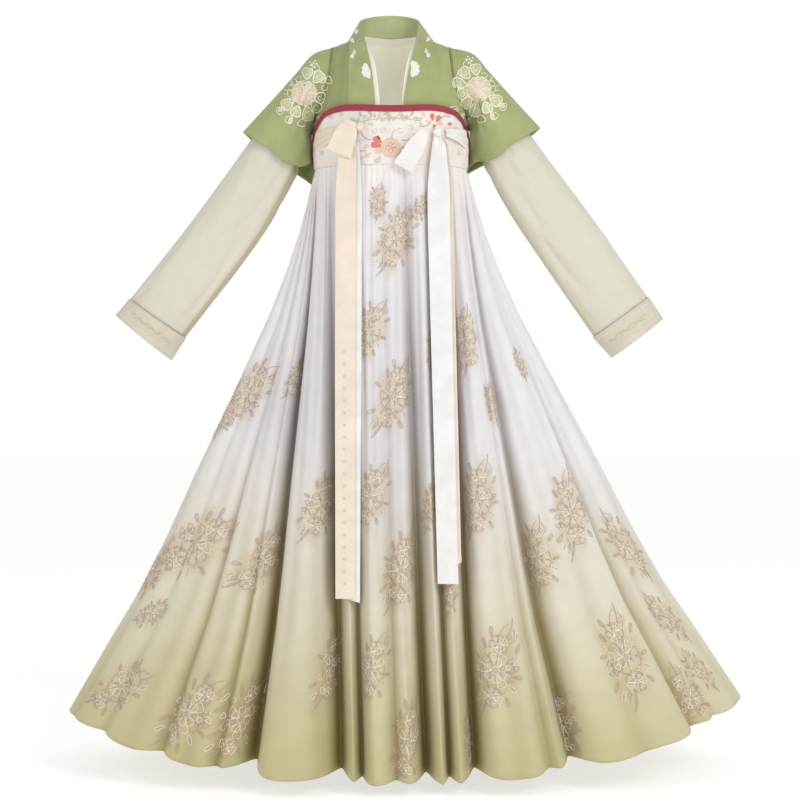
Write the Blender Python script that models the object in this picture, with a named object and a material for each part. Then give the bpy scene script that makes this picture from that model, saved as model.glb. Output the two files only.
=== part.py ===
"""Chest-high pleated skirt outfit: sheer long-sleeved under-shirt, short open-front
half-sleeve jacket, pleated skirt hung from a chest band, and two knotted ties.

The set stands filled out, hollow, as it hangs on its wearer. Metres, +Z up, front
towards -Y, +X to the right of a viewer facing the front. The origin is in the middle
of the neck base, level with the tops of the shoulders.
"""

import math

import bpy
import numpy as np

# ---------------------------------------------------------------- driving sizes
CLOTH = 0.0020            # wall of each cloth piece
BAND_WALL = 0.0026        # collar, cuffs and chest band, several layers of cloth
SEAM = 0.0004             # half of the gap left at each seam
SHIRT_OFF = 0.0           # layers outward from the body surface
JACKET_OFF = 0.0052
CHEST_OFF = 0.0110
PIPING_OFF = 0.0145
STRAP_OFF = 0.0190

ROUND = 2.2               # exponent of the rounded-oval sections
ARMPIT_Z = -0.125
SHIRT_ARMPIT = 1.0        # where each armhole ends, as a share of the shoulder's round
JACKET_ARMPIT = 1.05
BODY_LOW_Z = -0.400       # hidden lower edge of jacket and shirt
NECK_HALF = 0.083         # collar seam at the neck side
FRONT_SEAM_X = 0.079      # seam of the front panel with the collar band

SKIRT_TOP_Z = -0.2354
SLANT = 1.157             # skirt length from band to hem
HEM_CENTRE_X = 0.0275
HEM_HALF_WIDTH = 0.6535
HEM_HALF_DEPTH = 0.345


def table(names, *rows):
    """A small table as named columns."""
    return {n: np.array([r[i] for r in rows], float) for i, n in enumerate(names.split())}


BODY = table(
    "z half_width half_depth",
    (0.060, 0.143, 0.1070),
    (-0.125, 0.143, 0.1070),
    (-0.185, 0.1435, 0.1090),
    (-0.235, 0.137, 0.1060),
    (-0.400, 0.150, 0.1140),
)

# shoulder line from the neck side to the armhole seam
SHOULDER = table(
    "x z",
    (0.083, 0.0090),
    (0.095, 0.0045),
    (0.107, 0.0000),
    (0.130, -0.0060),
    (0.152, -0.0130),
)

# armhole seam: how far out it runs at each height
ARMHOLE = table(
    "z x",
    (-0.1250, 0.1430),
    (-0.1220, 0.1415),
    (-0.1120, 0.1360),
    (-0.0950, 0.1265),
    (-0.0700, 0.1170),
    (-0.0400, 0.1110),
    (0.0200, 0.1070),
)

# jacket half-sleeves, sections from shoulder to hem: upper and lower point of each
JACKET_SLEEVE_L = table(
    "top_x top_z low_x low_z half_depth",
    (-0.1510, -0.0100, -0.1680, -0.1520, 0.0740),
    (-0.1860, -0.0490, -0.1690, -0.2000, 0.0700),
    (-0.2330, -0.1020, -0.1730, -0.2380, 0.0640),
    (-0.2868, -0.1618, -0.1770, -0.2560, 0.0580),
)
JACKET_SLEEVE_R = table(
    "top_x top_z low_x low_z half_depth",
    (0.1590, -0.0090, 0.1680, -0.1480, 0.0740),
    (0.1900, -0.0430, 0.1690, -0.1880, 0.0700),
    (0.2360, -0.0950, 0.1725, -0.2200, 0.0640),
    (0.2892, -0.1540, 0.1760, -0.2370, 0.0580),
)
# under-shirt sleeves, shoulder to cuff seam, then the two ends of the cuff
SHIRT_SLEEVE_L = table(
    "top_x top_z low_x low_z half_depth",
    (-0.1490, -0.0190, -0.1700, -0.1400, 0.0660),
    (-0.1800, -0.0560, -0.1745, -0.1900, 0.0620),
    (-0.2260, -0.1120, -0.1790, -0.2280, 0.0550),
    (-0.2745, -0.1780, -0.1870, -0.2520, 0.0480),
    (-0.3350, -0.2620, -0.2330, -0.3350, 0.0440),
    (-0.3980, -0.3470, -0.2920, -0.4200, 0.0420),
    (-0.5090, -0.4875, -0.4020, -0.5616, 0.0400),
)
SHIRT_SLEEVE_R = table(
    "top_x top_z low_x low_z half_depth",
    (0.1565, -0.0185, 0.1700, -0.1370, 0.0660),
    (0.1840, -0.0510, 0.1745, -0.1790, 0.0620),
    (0.2290, -0.1070, 0.1785, -0.2120, 0.0550),
    (0.2740, -0.1690, 0.1845, -0.2340, 0.0480),
    (0.3320, -0.2470, 0.2290, -0.3140, 0.0440),
    (0.3880, -0.3220, 0.2830, -0.3960, 0.0420),
    (0.5012, -0.4836, 0.3959, -0.5596, 0.0400),
)
CUFF_L = table(
    "top_x top_z low_x low_z half_depth",
    (-0.5100, -0.4868, -0.4010, -0.5624, 0.0415),
    (-0.5350, -0.5170, -0.4280, -0.6035, 0.0430),
)
CUFF_R = table(
    "top_x top_z low_x low_z half_depth",
    (0.5022, -0.4829, 0.3950, -0.5604, 0.0415),
    (0.5290, -0.5240, 0.4300, -0.5990, 0.0430),
)

# collar and front band: free edge beside each point of the seam, from the hidden
# lower end up the front (seam height as a share of the way round the shoulder)
BAND_FRONT = table(
    "share free_left free_right free_y free_z",
    (2.000, -0.0280, 0.0230, 0.0, 0.0),
    (1.400, -0.0285, 0.0235, 0.0, 0.0),
    (1.218, -0.0285, 0.0235, 0.0, 0.0),
    (1.000, -0.0295, 0.0245, 0.0, 0.0),
    (0.80, -0.0335, 0.0305, 0.0, 0.0),
    (0.60, -0.0390, 0.0375, 0.0, 0.0),
    (0.40, -0.0445, 0.0440, -0.0760, -0.0120),
    (0.25, -0.0492, 0.0478, -0.0610, 0.0080),
    (0.12, -0.0545, 0.0508, -0.0400, 0.0285),
    (0.00, -0.0600, 0.0545, -0.0140, 0.0490),
)
# the same band standing behind the neck
BAND_BACK = table(
    "seam_x free_left free_right free_y free_z",
    (0.0750, -0.0590, 0.0535, 0.0180, 0.0600),
    (0.0600, -0.0510, 0.0465, 0.0400, 0.0680),
    (0.0350, -0.0310, 0.0285, 0.0570, 0.0755),
    (0.0000, -0.0008, -0.0008, 0.0630, 0.0786),
)
NECK_BACK_SHARE = 0.357   # depth of the back neckline

SHIRT_EDGE = table(
    "share seam_x width",
    (2.000, 0.0325, 0.0120),
    (1.400, 0.0325, 0.0120),
    (1.218, 0.0325, 0.0120),
    (1.000, 0.0325, 0.0120),
    (0.80, 0.0370, 0.0120),
    (0.60, 0.0435, 0.0120),
    (0.40, 0.0515, 0.0110),
    (0.25, 0.0595, 0.0100),
    (0.10, 0.0675, 0.0090),
    (0.00, 0.0735, 0.0085),
)
SHIRT_BACK_SHARE = 0.44

# top edge of the front chest band, by angle round the body
CHEST_TOP = table(
    "angle z",
    (0.0, -0.1260),
    (42.0, -0.1265),
    (52.0, -0.1330),
    (60.0, -0.1450),
    (68.0, -0.1640),
    (75.0, -0.1880),
    (80.0, -0.2100),
    (84.0, -0.2300),
)
BACK_TOP = table(
    "angle z",
    (0.0, -0.1500),
    (52.0, -0.1510),
    (62.0, -0.1620),
    (72.0, -0.1840),
    (80.0, -0.2100),
    (84.0, -0.2300),
)

# how the skirt spreads out on its way down
SPREAD = table(
    "drop spread",
    (0.00, 0.000),
    (0.06, 0.022),
    (0.12, 0.058),
    (0.19, 0.110),
    (0.27, 0.180),
    (0.37, 0.285),
    (0.46, 0.380),
    (0.57, 0.494),
    (0.68, 0.603),
    (0.78, 0.713),
    (0.88, 0.846),
    (1.00, 1.000),
)

# fold valleys from the left side round the front to the right side, then the back.
# angle at the band, angle at the hem (0 = middle of the front), depth and half-width
# of the valley at the hem
FOLDS = table(
    "top hem depth width",
    (-90.0, -90.0, 0.012, 0.030),
    (-86.0, -60.0, 0.022, 0.020),
    (-82.0, -43.0, 0.050, 0.024),
    (-78.0, -30.5, 0.034, 0.016),
    (-73.0, -24.6, 0.080, 0.024),
    (-49.0, -9.2, 0.078, 0.022),
    (-30.0, -5.8, 0.052, 0.011),
    (-6.0, -1.0, 0.026, 0.016),
    (9.0, 2.6, 0.080, 0.018),
    (26.0, 5.9, 0.052, 0.011),
    (47.0, 10.0, 0.076, 0.018),
    (62.0, 22.0, 0.034, 0.020),
    (71.0, 27.0, 0.066, 0.024),
    (81.0, 55.5, 0.036, 0.018),
    (85.5, 63.0, 0.022, 0.016),
    (90.0, 90.0, 0.012, 0.030),
    (97.0, 118.0, 0.046, 0.024),
    (104.0, 139.0, 0.030, 0.020),
    (110.0, 151.0, 0.072, 0.024),
    (128.0, 162.0, 0.040, 0.018),
    (143.0, 168.5, 0.074, 0.020),
    (158.0, 174.0, 0.050, 0.014),
    (176.0, 179.5, 0.030, 0.016),
    (191.0, 184.0, 0.076, 0.020),
    (209.0, 190.0, 0.048, 0.014),
    (224.0, 197.0, 0.070, 0.022),
    (243.0, 209.0, 0.038, 0.020),
    (254.0, 221.0, 0.074, 0.024),
    (263.0, 238.0, 0.030, 0.020),
    (270.0, 270.0, 0.012, 0.030),
)

# ties: knot centres, loops and hanging tails (x and z on the front of the band)
KNOT_L = (-0.0530, -0.1690)
KNOT_R = (0.0880, -0.1740)
TAIL_L = table(
    "z left right under_left under_right",
    (-0.2220, -0.0980, -0.0650, -0.0860, -0.0580),
    (-0.2650, -0.1040, -0.0660, -0.0900, -0.0545),
    (-0.6000, -0.1035, -0.0660, -0.0900, -0.0545),
    (-1.0450, -0.1000, -0.0650, -0.0880, -0.0555),
)
TAIL_R = table(
    "z left right under_left under_right",
    (-0.2040, 0.0780, 0.1040, 0.0860, 0.1090),
    (-0.2450, 0.0705, 0.1110, 0.0800, 0.1180),
    (-0.3350, 0.0700, 0.1120, 0.0800, 0.1185),
    (-1.0180, 0.0865, 0.1240, 0.0960, 0.1305),
)
UNDER_SHORTER = 0.010     # the under layer of each tail ends this much higher

COLOURS = {
    "shirt": (0.72, 0.70, 0.60), "jacket": (0.36, 0.41, 0.17), "cuff": (0.74, 0.70, 0.58),
    "band": (0.84, 0.80, 0.74), "piping": (0.37, 0.06, 0.08), "skirt": (0.74, 0.71, 0.62),
    "tie_cream": (0.82, 0.74, 0.58), "tie_white": (0.88, 0.87, 0.86),
}


# ------------------------------------------------------------------ the scene
def clear_scene():
    for obj in list(bpy.data.objects):
        bpy.data.objects.remove(obj, do_unlink=True)


def material(name, rgb, roughness=0.8):
    mat = bpy.data.materials.new(name)
    mat.use_nodes = True
    bsdf = mat.node_tree.nodes.get("Principled BSDF")
    bsdf.inputs["Base Color"].default_value = (*rgb, 1.0)
    bsdf.inputs["Roughness"].default_value = roughness
    bsdf.inputs["Metallic"].default_value = 0.0
    return mat


def add_mesh(name, points, faces, colour):
    """A closed mesh object with outward faces."""
    corner = points[faces]
    volume = np.einsum("ij,ij->i", corner[:, 0], np.cross(corner[:, 1], corner[:, 2])).sum()
    if volume < 0:
        faces = faces[:, ::-1]
    mesh = bpy.data.meshes.new(name)
    mesh.from_pydata(points.tolist(), [], faces.tolist())
    mesh.update()
    obj = bpy.data.objects.new(name, mesh)
    bpy.context.scene.collection.objects.link(obj)
    mesh.materials.append(material(name + "_cloth", COLOURS[colour]))
    for polygon in mesh.polygons:
        polygon.use_smooth = True
    mesh.set_sharp_from_angle(angle=math.radians(50))
    return obj


# ------------------------------------------------------------- walls of cloth
def grid_normals(mid, wrap=False):
    """Unit normals of a grid of points, by differences along its rows and columns."""
    if wrap:
        du = np.roll(mid, -1, 0) - np.roll(mid, 1, 0)
    else:
        du = np.gradient(mid, axis=0)
    dv = np.gradient(mid, axis=1)
    nrm = np.cross(du, dv)
    size = np.linalg.norm(nrm, axis=2, keepdims=True)
    return nrm / np.maximum(size, 1e-12)


def facing(nrm, mid, centre):
    """Normals turned to point away from a centre line."""
    away = mid - centre
    if (nrm * away).sum() < 0:
        return -nrm
    return nrm


def wall(name, mid, nrm, thick, colour, wrap=False):
    """A closed wall of cloth, half of its thickness on each side of a grid."""
    nu, nv = mid.shape[:2]
    outer = mid + nrm * thick / 2
    inner = mid - nrm * thick / 2
    points = np.concatenate([outer.reshape(-1, 3), inner.reshape(-1, 3)])
    base = nu * nv
    faces = []

    def at(i, j, side):
        return side * base + (i % nu) * nv + j

    def quad(a, b, c, d):
        faces.append((a, b, c))
        faces.append((a, c, d))

    last = nu if wrap else nu - 1
    for i in range(last):
        for j in range(nv - 1):
            ring = [(i, j), (i + 1, j), (i + 1, j + 1), (i, j + 1)]
            p = [mid[a % nu, b] for a, b in ring]
            if np.linalg.norm(p[1] - p[3]) < np.linalg.norm(p[0] - p[2]):
                ring = ring[1:] + ring[:1]      # split along the shorter diagonal
            quad(*[at(*q, 0) for q in ring])
            quad(*[at(*q, 1) for q in (ring[0], ring[3], ring[2], ring[1])])
        quad(at(i, 0, 0), at(i, 0, 1), at(i + 1, 0, 1), at(i + 1, 0, 0))
        quad(at(i, nv - 1, 0), at(i + 1, nv - 1, 0), at(i + 1, nv - 1, 1), at(i, nv - 1, 1))
    if not wrap:
        for j in range(nv - 1):
            quad(at(0, j, 0), at(0, j + 1, 0), at(0, j + 1, 1), at(0, j, 1))
            quad(at(nu - 1, j, 0), at(nu - 1, j, 1), at(nu - 1, j + 1, 1), at(nu - 1, j + 1, 0))
    return add_mesh(name, points, np.array(faces), colour)


# ------------------------------------------------------------ the body surface
def half_width(z):
    return np.interp(-z, -BODY["z"], BODY["half_width"])


def half_depth(z):
    return np.interp(-z, -BODY["z"], BODY["half_depth"])


def shoulder_z(x, back):
    """Top of the shoulder; between the neck sides the back rises to the collar."""
    x = np.abs(x)
    out = np.interp(x, SHOULDER["x"], SHOULDER["z"])
    rise = np.where(back, 0.0485, 0.0100)
    inside = 0.009 + rise * np.clip(1 - (x / NECK_HALF) ** 2, 0, 1)
    return np.where(x < NECK_HALF, inside, out)


def body(x, share, back):
    """Point of the body surface: share 0 is the shoulder line, 1 the armpit level and
    2 the lower edge."""
    x, share, back = np.broadcast_arrays(np.asarray(x, float), share, back)
    turn = (1 - np.clip(share, 0, 1)) * np.pi / 2
    top = shoulder_z(x, back)
    z = ARMPIT_Z + (top - ARMPIT_Z) * np.sin(turn) ** (2 / ROUND)
    thin = np.cos(turn) ** (2 / ROUND)
    z = np.where(share > 1, ARMPIT_Z + (share - 1) * (BODY_LOW_Z - ARMPIT_Z), z)
    thin = np.where(share > 1, 1.0, thin)
    side = np.clip(1 - np.clip(np.abs(x) / half_width(z), 0, 1) ** ROUND, 0, 1) ** (1 / ROUND)
    y = half_depth(z) * side * thin * np.where(back, 1, -1)
    return np.stack([x, y, z], -1)


def body_level(p, back):
    """Below 0 inside the body surface and above 0 outside it."""
    x, y, z = p[..., 0], p[..., 1], p[..., 2]
    high = np.clip((z - ARMPIT_Z) / (shoulder_z(x, back) - ARMPIT_Z), 0, None) ** ROUND
    wide = (np.abs(x) / half_width(z)) ** ROUND
    return (np.abs(y) / half_depth(z)) ** ROUND - (1 - wide) * (1 - high)


def body_out(x, share, back, off):
    """A body point moved out by off, and the outward direction there."""
    p = body(x, share, back)
    nrm = np.zeros_like(p)
    for k in range(3):
        step = np.zeros(3)
        step[k] = 2e-4
        nrm[..., k] = body_level(p + step, back) - body_level(p - step, back)
    nrm /= np.linalg.norm(nrm, axis=-1, keepdims=True)
    return p + nrm * off, nrm


def armhole_x(share, armpit, back=False):
    """Distance of the armhole seam from the middle at a share of the shoulder's round;
    below the armpit it is the side seam."""
    share = np.asarray(share, float)
    low = ARMPIT_Z + (armpit - 1) * (BODY_LOW_Z - ARMPIT_Z)
    x = np.full(share.shape, 0.107)
    for _ in range(6):
        z = body(x, share, back)[..., 2]
        x = np.interp(z * ARMPIT_Z / low, ARMHOLE["z"], ARMHOLE["x"])
    z = body(x, share, back)[..., 2]
    return np.where(share >= armpit, half_width(z), x)


def oval_x(half, turn):
    return half * np.sign(np.sin(turn)) * np.abs(np.sin(turn)) ** (2 / ROUND)


def oval(half_w, half_d, turn):
    """Point of a rounded oval; turn 0 faces the front, a quarter turn the right side."""
    s, c = np.sin(turn), np.cos(turn)
    x = half_w * np.sign(s) * np.abs(s) ** (2 / ROUND)
    y = -half_d * np.sign(c) * np.abs(c) ** (2 / ROUND)
    return x, y


def shares(armpit):
    """Levels of the panel rows, which the sleeves' roots share."""
    above = np.array([0.006, 0.12, 0.28, 0.45, 0.62, 0.77, 0.87, 0.93, 0.97]) * armpit
    return np.concatenate([above, [armpit, 1.218, 1.40, 2.0]])


def panel_columns(inner_x, outer_x, share, count, back):
    """Evenly turned positions between two distances from the middle at one height."""
    z = body(outer_x, share, back)[..., 2]
    half = half_width(z)
    a = np.arcsin(np.clip(inner_x / half, 0, 1) ** (ROUND / 2))
    b = np.arcsin(np.clip(outer_x / half, 0, 1) ** (ROUND / 2))
    b = min(b, math.radians(89.6))
    turn = np.linspace(a, b, count)
    return half * np.sin(turn) ** (2 / ROUND)


def front_panel(name, side, inner, off, armpit, colour, columns):
    """Front of a garment from its opening edge to the armhole and side seam."""
    rows = []
    for share in shares(armpit):
        out = float(armhole_x(share, armpit))
        out = out - SEAM if share < armpit else out
        xs = panel_columns(float(inner(share)) + SEAM, out, share, columns, False)
        p, n = body_out(side * xs, share, False, off)
        rows.append((p, n))
    mid = np.stack([r[0] for r in rows], 1)
    nrm = np.stack([r[1] for r in rows], 1)
    return wall(name, mid, nrm, CLOTH, colour)


def back_panel(name, neck_half, neck_share, off, armpit, colour, columns):
    """Back of a garment, with its neckline cut down in the middle."""
    rows = []
    levels = shares(armpit)
    for step in levels:
        rel = (step - levels[0]) / (levels[-1] - levels[0])
        ts = np.linspace(-1, 1, columns)
        x = ts * 0.107
        for _ in range(8):
            cut = np.clip(1 - (x / neck_half) ** 2, 0, 1) ** 0.6 * neck_share
            top = np.maximum(cut + 0.012 * (cut > 0), levels[0])
            share = top + (levels[-1] - top) * rel
            out = armhole_x(share, armpit, True) - np.where(share < armpit - 1e-6, SEAM, 0)
            z = body(out, share, True)[..., 2]
            half = half_width(z)
            edge = np.arcsin(np.clip(out / half, 0, 1) ** (ROUND / 2))
            edge = np.minimum(edge, math.radians(89.6))
            turn = ts * edge
            x = half * np.sign(turn) * np.abs(np.sin(turn)) ** (2 / ROUND)
        rows.append(body_out(x, share, True, off))
    mid = np.stack([r[0] for r in rows], 1)
    nrm = np.stack([r[1] for r in rows], 1)
    return wall(name, mid, nrm, CLOTH, colour)


# ------------------------------------------------------------------- sleeves
def sleeve_turns(armpit):
    """Turns round a sleeve that meet the rows of the panels at the armhole."""
    levels = shares(armpit)
    levels = levels[levels <= armpit + 1e-9] / armpit
    levels[0] = 0.0
    front = levels * np.pi
    return np.concatenate([front, 2 * np.pi - front[-2:0:-1]])


def sleeve_loops(rows, side, off, armpit, turns):
    """Mid-surface loops of a sleeve: the armhole first, then each row's oval."""
    share = (1 - np.abs(turns / np.pi - 1)) * armpit
    share = np.where(share > 0.9999 * armpit, 0.9999 * armpit, np.maximum(share, 0.003))
    back = turns > np.pi
    x = armhole_x(share, armpit, back) + SEAM
    root, root_n = body_out(side * np.minimum(x + SEAM, 0.1428), share, back, off)
    loops = [root]
    for i in range(len(rows["top_x"])):
        top = np.array([rows["top_x"][i], 0.0, rows["top_z"][i]])
        low = np.array([rows["low_x"][i], 0.0, rows["low_z"][i]])
        c, s = np.cos(turns)[:, None], np.sin(turns)[:, None]
        loop = (top + low) / 2 + c * (top - low) / 2 + s * np.array([0.0, -rows["half_depth"][i], 0.0])
        loops.append(loop)
    # start just clear of the panels that the armhole is sewn to
    way = loops[1] - loops[0]
    way /= np.linalg.norm(way, axis=1, keepdims=True)
    lift = np.abs((way * root_n).sum(1, keepdims=True))
    loops[0] = loops[0] + way * (SEAM + 0.0058 * lift)
    return np.stack(loops, 1)


def sleeve(name, rows, side, off, armpit, colour, front_lift=0.0):
    turns = sleeve_turns(armpit)
    mid = sleeve_loops(rows, side, off, armpit, turns)
    if front_lift:
        # the front layer of the hem rises towards the underarm
        low_front = np.clip(-np.cos(turns), 0, 1) * np.clip(np.sin(turns), 0, 1)
        way = mid[:, -2] - mid[:, -1]
        way /= np.linalg.norm(way, axis=1, keepdims=True)
        mid[:, -1] += way * (low_front * 2 * front_lift)[:, None]
    centre = mid.mean(axis=0, keepdims=True)
    nrm = facing(grid_normals(mid, wrap=True), mid, centre)
    return wall(name, mid, nrm, CLOTH, colour, wrap=True)


def cuff(name, rows):
    turns = sleeve_turns(SHIRT_ARMPIT)
    loops = []
    for f in (0.0, 1.0):
        v = {k: (1 - f) * c[0] + f * c[1] for k, c in rows.items()}
        top = np.array([v["top_x"], 0.0, v["top_z"]])
        low = np.array([v["low_x"], 0.0, v["low_z"]])
        c, s = np.cos(turns)[:, None], np.sin(turns)[:, None]
        loops.append((top + low) / 2 + c * (top - low) / 2 + s * np.array([0.0, -v["half_depth"], 0.0]))
    mid = np.stack(loops, 1)
    way = mid[:, 1] - mid[:, 0]
    mid[:, 0] += way / np.linalg.norm(way, axis=1, keepdims=True) * 2 * SEAM
    centre = mid.mean(axis=0, keepdims=True)
    nrm = facing(grid_normals(mid, wrap=True), mid, centre)
    return wall(name, mid, nrm, BAND_WALL, "cuff", wrap=True)


# --------------------------------------------------------- collar and neckband
BAND_STEPS = (0.0, 0.33, 0.67, 1.0)


def body_at(x, z):
    """How far forward the chest lies at a position and height, jacket layer."""
    half = half_width(z) + JACKET_OFF
    top = float(shoulder_z(x, False)) + JACKET_OFF
    thin = 1.0
    if z > ARMPIT_Z:
        thin = max(0.0, 1 - ((z - ARMPIT_Z) / (top - ARMPIT_Z)) ** ROUND) ** (1 / ROUND)
    side = (1 - min(abs(x) / half, 1.0) ** ROUND) ** (1 / ROUND)
    return -(half_depth(z) + JACKET_OFF) * side * thin


def band_stations(side):
    """Seam and free edge of the collar band on one side, from the low front end to the
    middle of the back."""
    rows = []

    def row(p, n, q, on_chest):
        way = (q - p) / np.linalg.norm(q - p)
        start = p + way * (SEAM + 0.0032 * abs((way * n).sum()))
        points = [start + (q - start) * f for f in BAND_STEPS]
        if on_chest:
            # the band lies on the chest, so its middle bows out with it
            for k in range(1, len(points) - 1):
                half = half_width(points[k][2]) + JACKET_OFF
                rise = 1 - min(abs(points[k][0]) / half, 1) ** ROUND
                lean = points[0][1] / body_at(points[0][0], points[0][2])
                points[k][1] = body_at(points[k][0], points[k][2]) * lean if rise > 0 else points[k][1]
        rows.append(points)

    for i, share in enumerate(BAND_FRONT["share"]):
        x = FRONT_SEAM_X - SEAM + (NECK_HALF - FRONT_SEAM_X) * max(0.0, 1 - share / 0.3)
        p, n = body_out(side * x, max(share, 0.004), False, JACKET_OFF)
        fx = BAND_FRONT["free_right" if side > 0 else "free_left"][i]
        if BAND_FRONT["free_z"][i] == 0.0:
            q = np.array([fx, body_at(fx, p[2]) * p[1] / body_at(p[0], p[2]), p[2]])
            row(p, n, q, True)
        else:
            row(p, n, np.array([fx, BAND_FRONT["free_y"][i], BAND_FRONT["free_z"][i]]), False)
    for i, x in enumerate(BAND_BACK["seam_x"]):
        share = NECK_BACK_SHARE * (1 - (x / NECK_HALF) ** 2) ** 0.6
        p, n = body_out(side * x, share, True, JACKET_OFF)
        fx = BAND_BACK["free_right" if side > 0 else "free_left"][i]
        row(p, n, np.array([fx, BAND_BACK["free_y"][i], BAND_BACK["free_z"][i]]), False)
    return np.array(rows)


def collar():
    mid = np.concatenate([band_stations(-1), band_stations(1)[-2::-1]])
    n = grid_normals(mid)
    n = np.where((n * (mid - np.array([0.0, 0.0, -0.2]))).sum(-1, keepdims=True) < 0, -n, n)
    return wall("jacket_collar", mid, n, BAND_WALL, "jacket")


def shirt_edge_x(share):
    return np.interp(share, SHIRT_EDGE["share"][::-1], SHIRT_EDGE["seam_x"][::-1])


def shirt_neckband():
    rows = []
    for side in (-1, 1):
        half = []
        for i, share in enumerate(SHIRT_EDGE["share"]):
            x, w = SHIRT_EDGE["seam_x"][i], SHIRT_EDGE["width"][i]
            s = max(share, 0.004)
            a, n = body_out(side * (x - SEAM), s, False, SHIRT_OFF)
            b, _ = body_out(side * (x - w), s, False, SHIRT_OFF)
            half.append((a, b, n))
        for x in (0.062, 0.035, 0.0):
            share = SHIRT_BACK_SHARE * (1 - (x / 0.0735) ** 2) ** 0.6
            a, n = body_out(side * x, share, True, SHIRT_OFF)
            b, _ = body_out(side * x * 0.93, share * 0.90 - 0.02, True, SHIRT_OFF)
            half.append((a, b, n))
        rows.append(half if side < 0 else half[-2::-1])
    rows = rows[0] + rows[1]
    a = np.array([r[0] for r in rows])
    b = np.array([r[1] for r in rows])
    way = b - a
    way /= np.linalg.norm(way, axis=1, keepdims=True)
    mid = np.stack([a + way * SEAM, (a + b) / 2, b], 1)
    n = grid_normals(mid)
    n = np.where((n * (mid - np.array([0.0, 0.0, -0.2]))).sum(-1, keepdims=True) < 0, -n, n)
    return wall("shirt_neckband", mid, n, CLOTH, "shirt")


# ---------------------------------------------------------------- chest band
def band_ring(turn, z, off):
    x, y = oval(half_width(z) + off, half_depth(z) + off, turn)
    return np.stack(np.broadcast_arrays(x, y, z), -1)


def ring_normals(turn, z, off):
    e = 1e-3
    d = band_ring(turn + e, z, off) - band_ring(turn - e, z, off)
    n = np.stack([-d[..., 1], d[..., 0], 0 * d[..., 2]], -1)
    n /= np.linalg.norm(n, axis=-1, keepdims=True)
    p = band_ring(turn, z, off)
    return np.where((n * p * [1, 1, 0]).sum(-1, keepdims=True) < 0, -n, n)


def chest_band(name, top, back):
    angles = np.array([-84, -80, -75, -68, -60, -52, -42, -28, -14, 0, 14, 28, 42, 52, 60, 68, 75, 80, 84.0])
    turn = np.radians(angles)
    high = np.interp(np.abs(angles), top["angle"], top["z"])
    cols = []
    for f in (0.0, 0.33, 0.66, 1.0):
        z = high * (1 - f) + SKIRT_TOP_Z * f + (SEAM if f == 1.0 else 0)
        cols.append(z)
    z = np.stack(cols, 1)
    turn = np.broadcast_to(turn[:, None] + (np.pi if back else 0), z.shape)
    return wall(name, band_ring(turn, z, CHEST_OFF), ring_normals(turn, z, CHEST_OFF), BAND_WALL, "band")


def piping(name, top, back, wide_mid, wide_end):
    """A narrow binding that lies on the band along its top edge."""
    angles = np.array([-83, -80, -75, -68, -60, -52, -42, -28, -14, 0, 14, 28, 42, 52, 60, 68, 75, 80, 83.0])
    high = np.interp(np.abs(angles), top["angle"], top["z"]) + 0.0015
    turn = np.radians(angles) + (np.pi if back else 0)
    edge = band_ring(turn, high, PIPING_OFF)
    along = np.gradient(edge, axis=0)
    along /= np.linalg.norm(along, axis=1, keepdims=True)
    out = ring_normals(turn, high, PIPING_OFF)
    inward = np.cross(along, out)
    inward = np.where(inward[:, 2:3] > 0, -inward, inward)
    # at the lower ends the binding turns in towards the middle of the band
    width = wide_end + (wide_mid - wide_end) * np.clip(1 - (np.abs(angles) / 80) ** 3, 0, 1)
    mid = np.stack([edge + inward * (width * f)[:, None] for f in (0.0, 1.0)], 1)
    nrm = np.stack([out, out], 1)
    return wall(name, mid, nrm, 0.0022, "piping")


# --------------------------------------------------------------------- skirt
def skirt_points(u, t):
    """Skirt surface: u counts the folds round the body, t goes from band to hem."""
    index = np.arange(len(FOLDS["top"]))
    top = np.radians(np.interp(u, index, FOLDS["top"]))
    hem = np.radians(np.interp(u, index, FOLDS["hem"]))
    zt = SKIRT_TOP_Z - 2 * SEAM
    ax, ay = oval(half_width(zt) + CHEST_OFF, half_depth(zt) + CHEST_OFF, top)
    bx, by = oval(HEM_HALF_WIDTH, HEM_HALF_DEPTH, hem)
    bx = bx + HEM_CENTRE_X
    e = 1e-3
    cx, cy = oval(HEM_HALF_WIDTH, HEM_HALF_DEPTH, hem + e)
    dx, dy = oval(HEM_HALF_WIDTH, HEM_HALF_DEPTH, hem - e)
    nx, ny = (cy - dy), -(cx - dx)
    size = np.hypot(nx, ny)
    nx, ny = nx / size, ny / size
    flip = np.where(nx * (bx - HEM_CENTRE_X) + ny * by < 0, -1, 1)
    nx, ny = nx * flip, ny * flip
    # distance along the hem to the valley on either side
    lo = np.clip(np.floor(u).astype(int), 0, len(index) - 2)
    f = u - lo
    hx, hy = oval(HEM_HALF_WIDTH, HEM_HALF_DEPTH, np.radians(FOLDS["hem"]))
    lobe = np.hypot(hx[lo + 1] - hx[lo], hy[lo + 1] - hy[lo])
    valley = np.zeros(np.broadcast(u, t).shape)
    for k, dist in ((lo, f * lobe), (lo + 1, (1 - f) * lobe)):
        valley = np.maximum(valley, FOLDS["depth"][k] * np.exp(-(dist / FOLDS["width"][k]) ** 1.6))
    bulge = np.minimum(0.13 * lobe, 0.026) * (1 - (2 * f - 1) ** 2)
    crest = 1 - np.exp(-((np.minimum(f, 1 - f) / 0.22) ** 2))
    spread = np.interp(t, SPREAD["drop"], SPREAD["spread"])
    push = bulge * t - valley * t ** 1.15 + 0.0055 * crest * (1 - t) * np.clip(t / 0.05, 0, 1)
    lh = np.hypot(bx - ax, by - ay)
    hem_z = zt - np.sqrt(SLANT ** 2 - lh ** 2) + 0.12 * valley
    x = ax + (bx - ax) * spread + nx * push
    y = ay + (by - ay) * spread + ny * push
    z = zt + (hem_z - zt) * t
    return np.stack(np.broadcast_arrays(x, y, z), -1)


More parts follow.
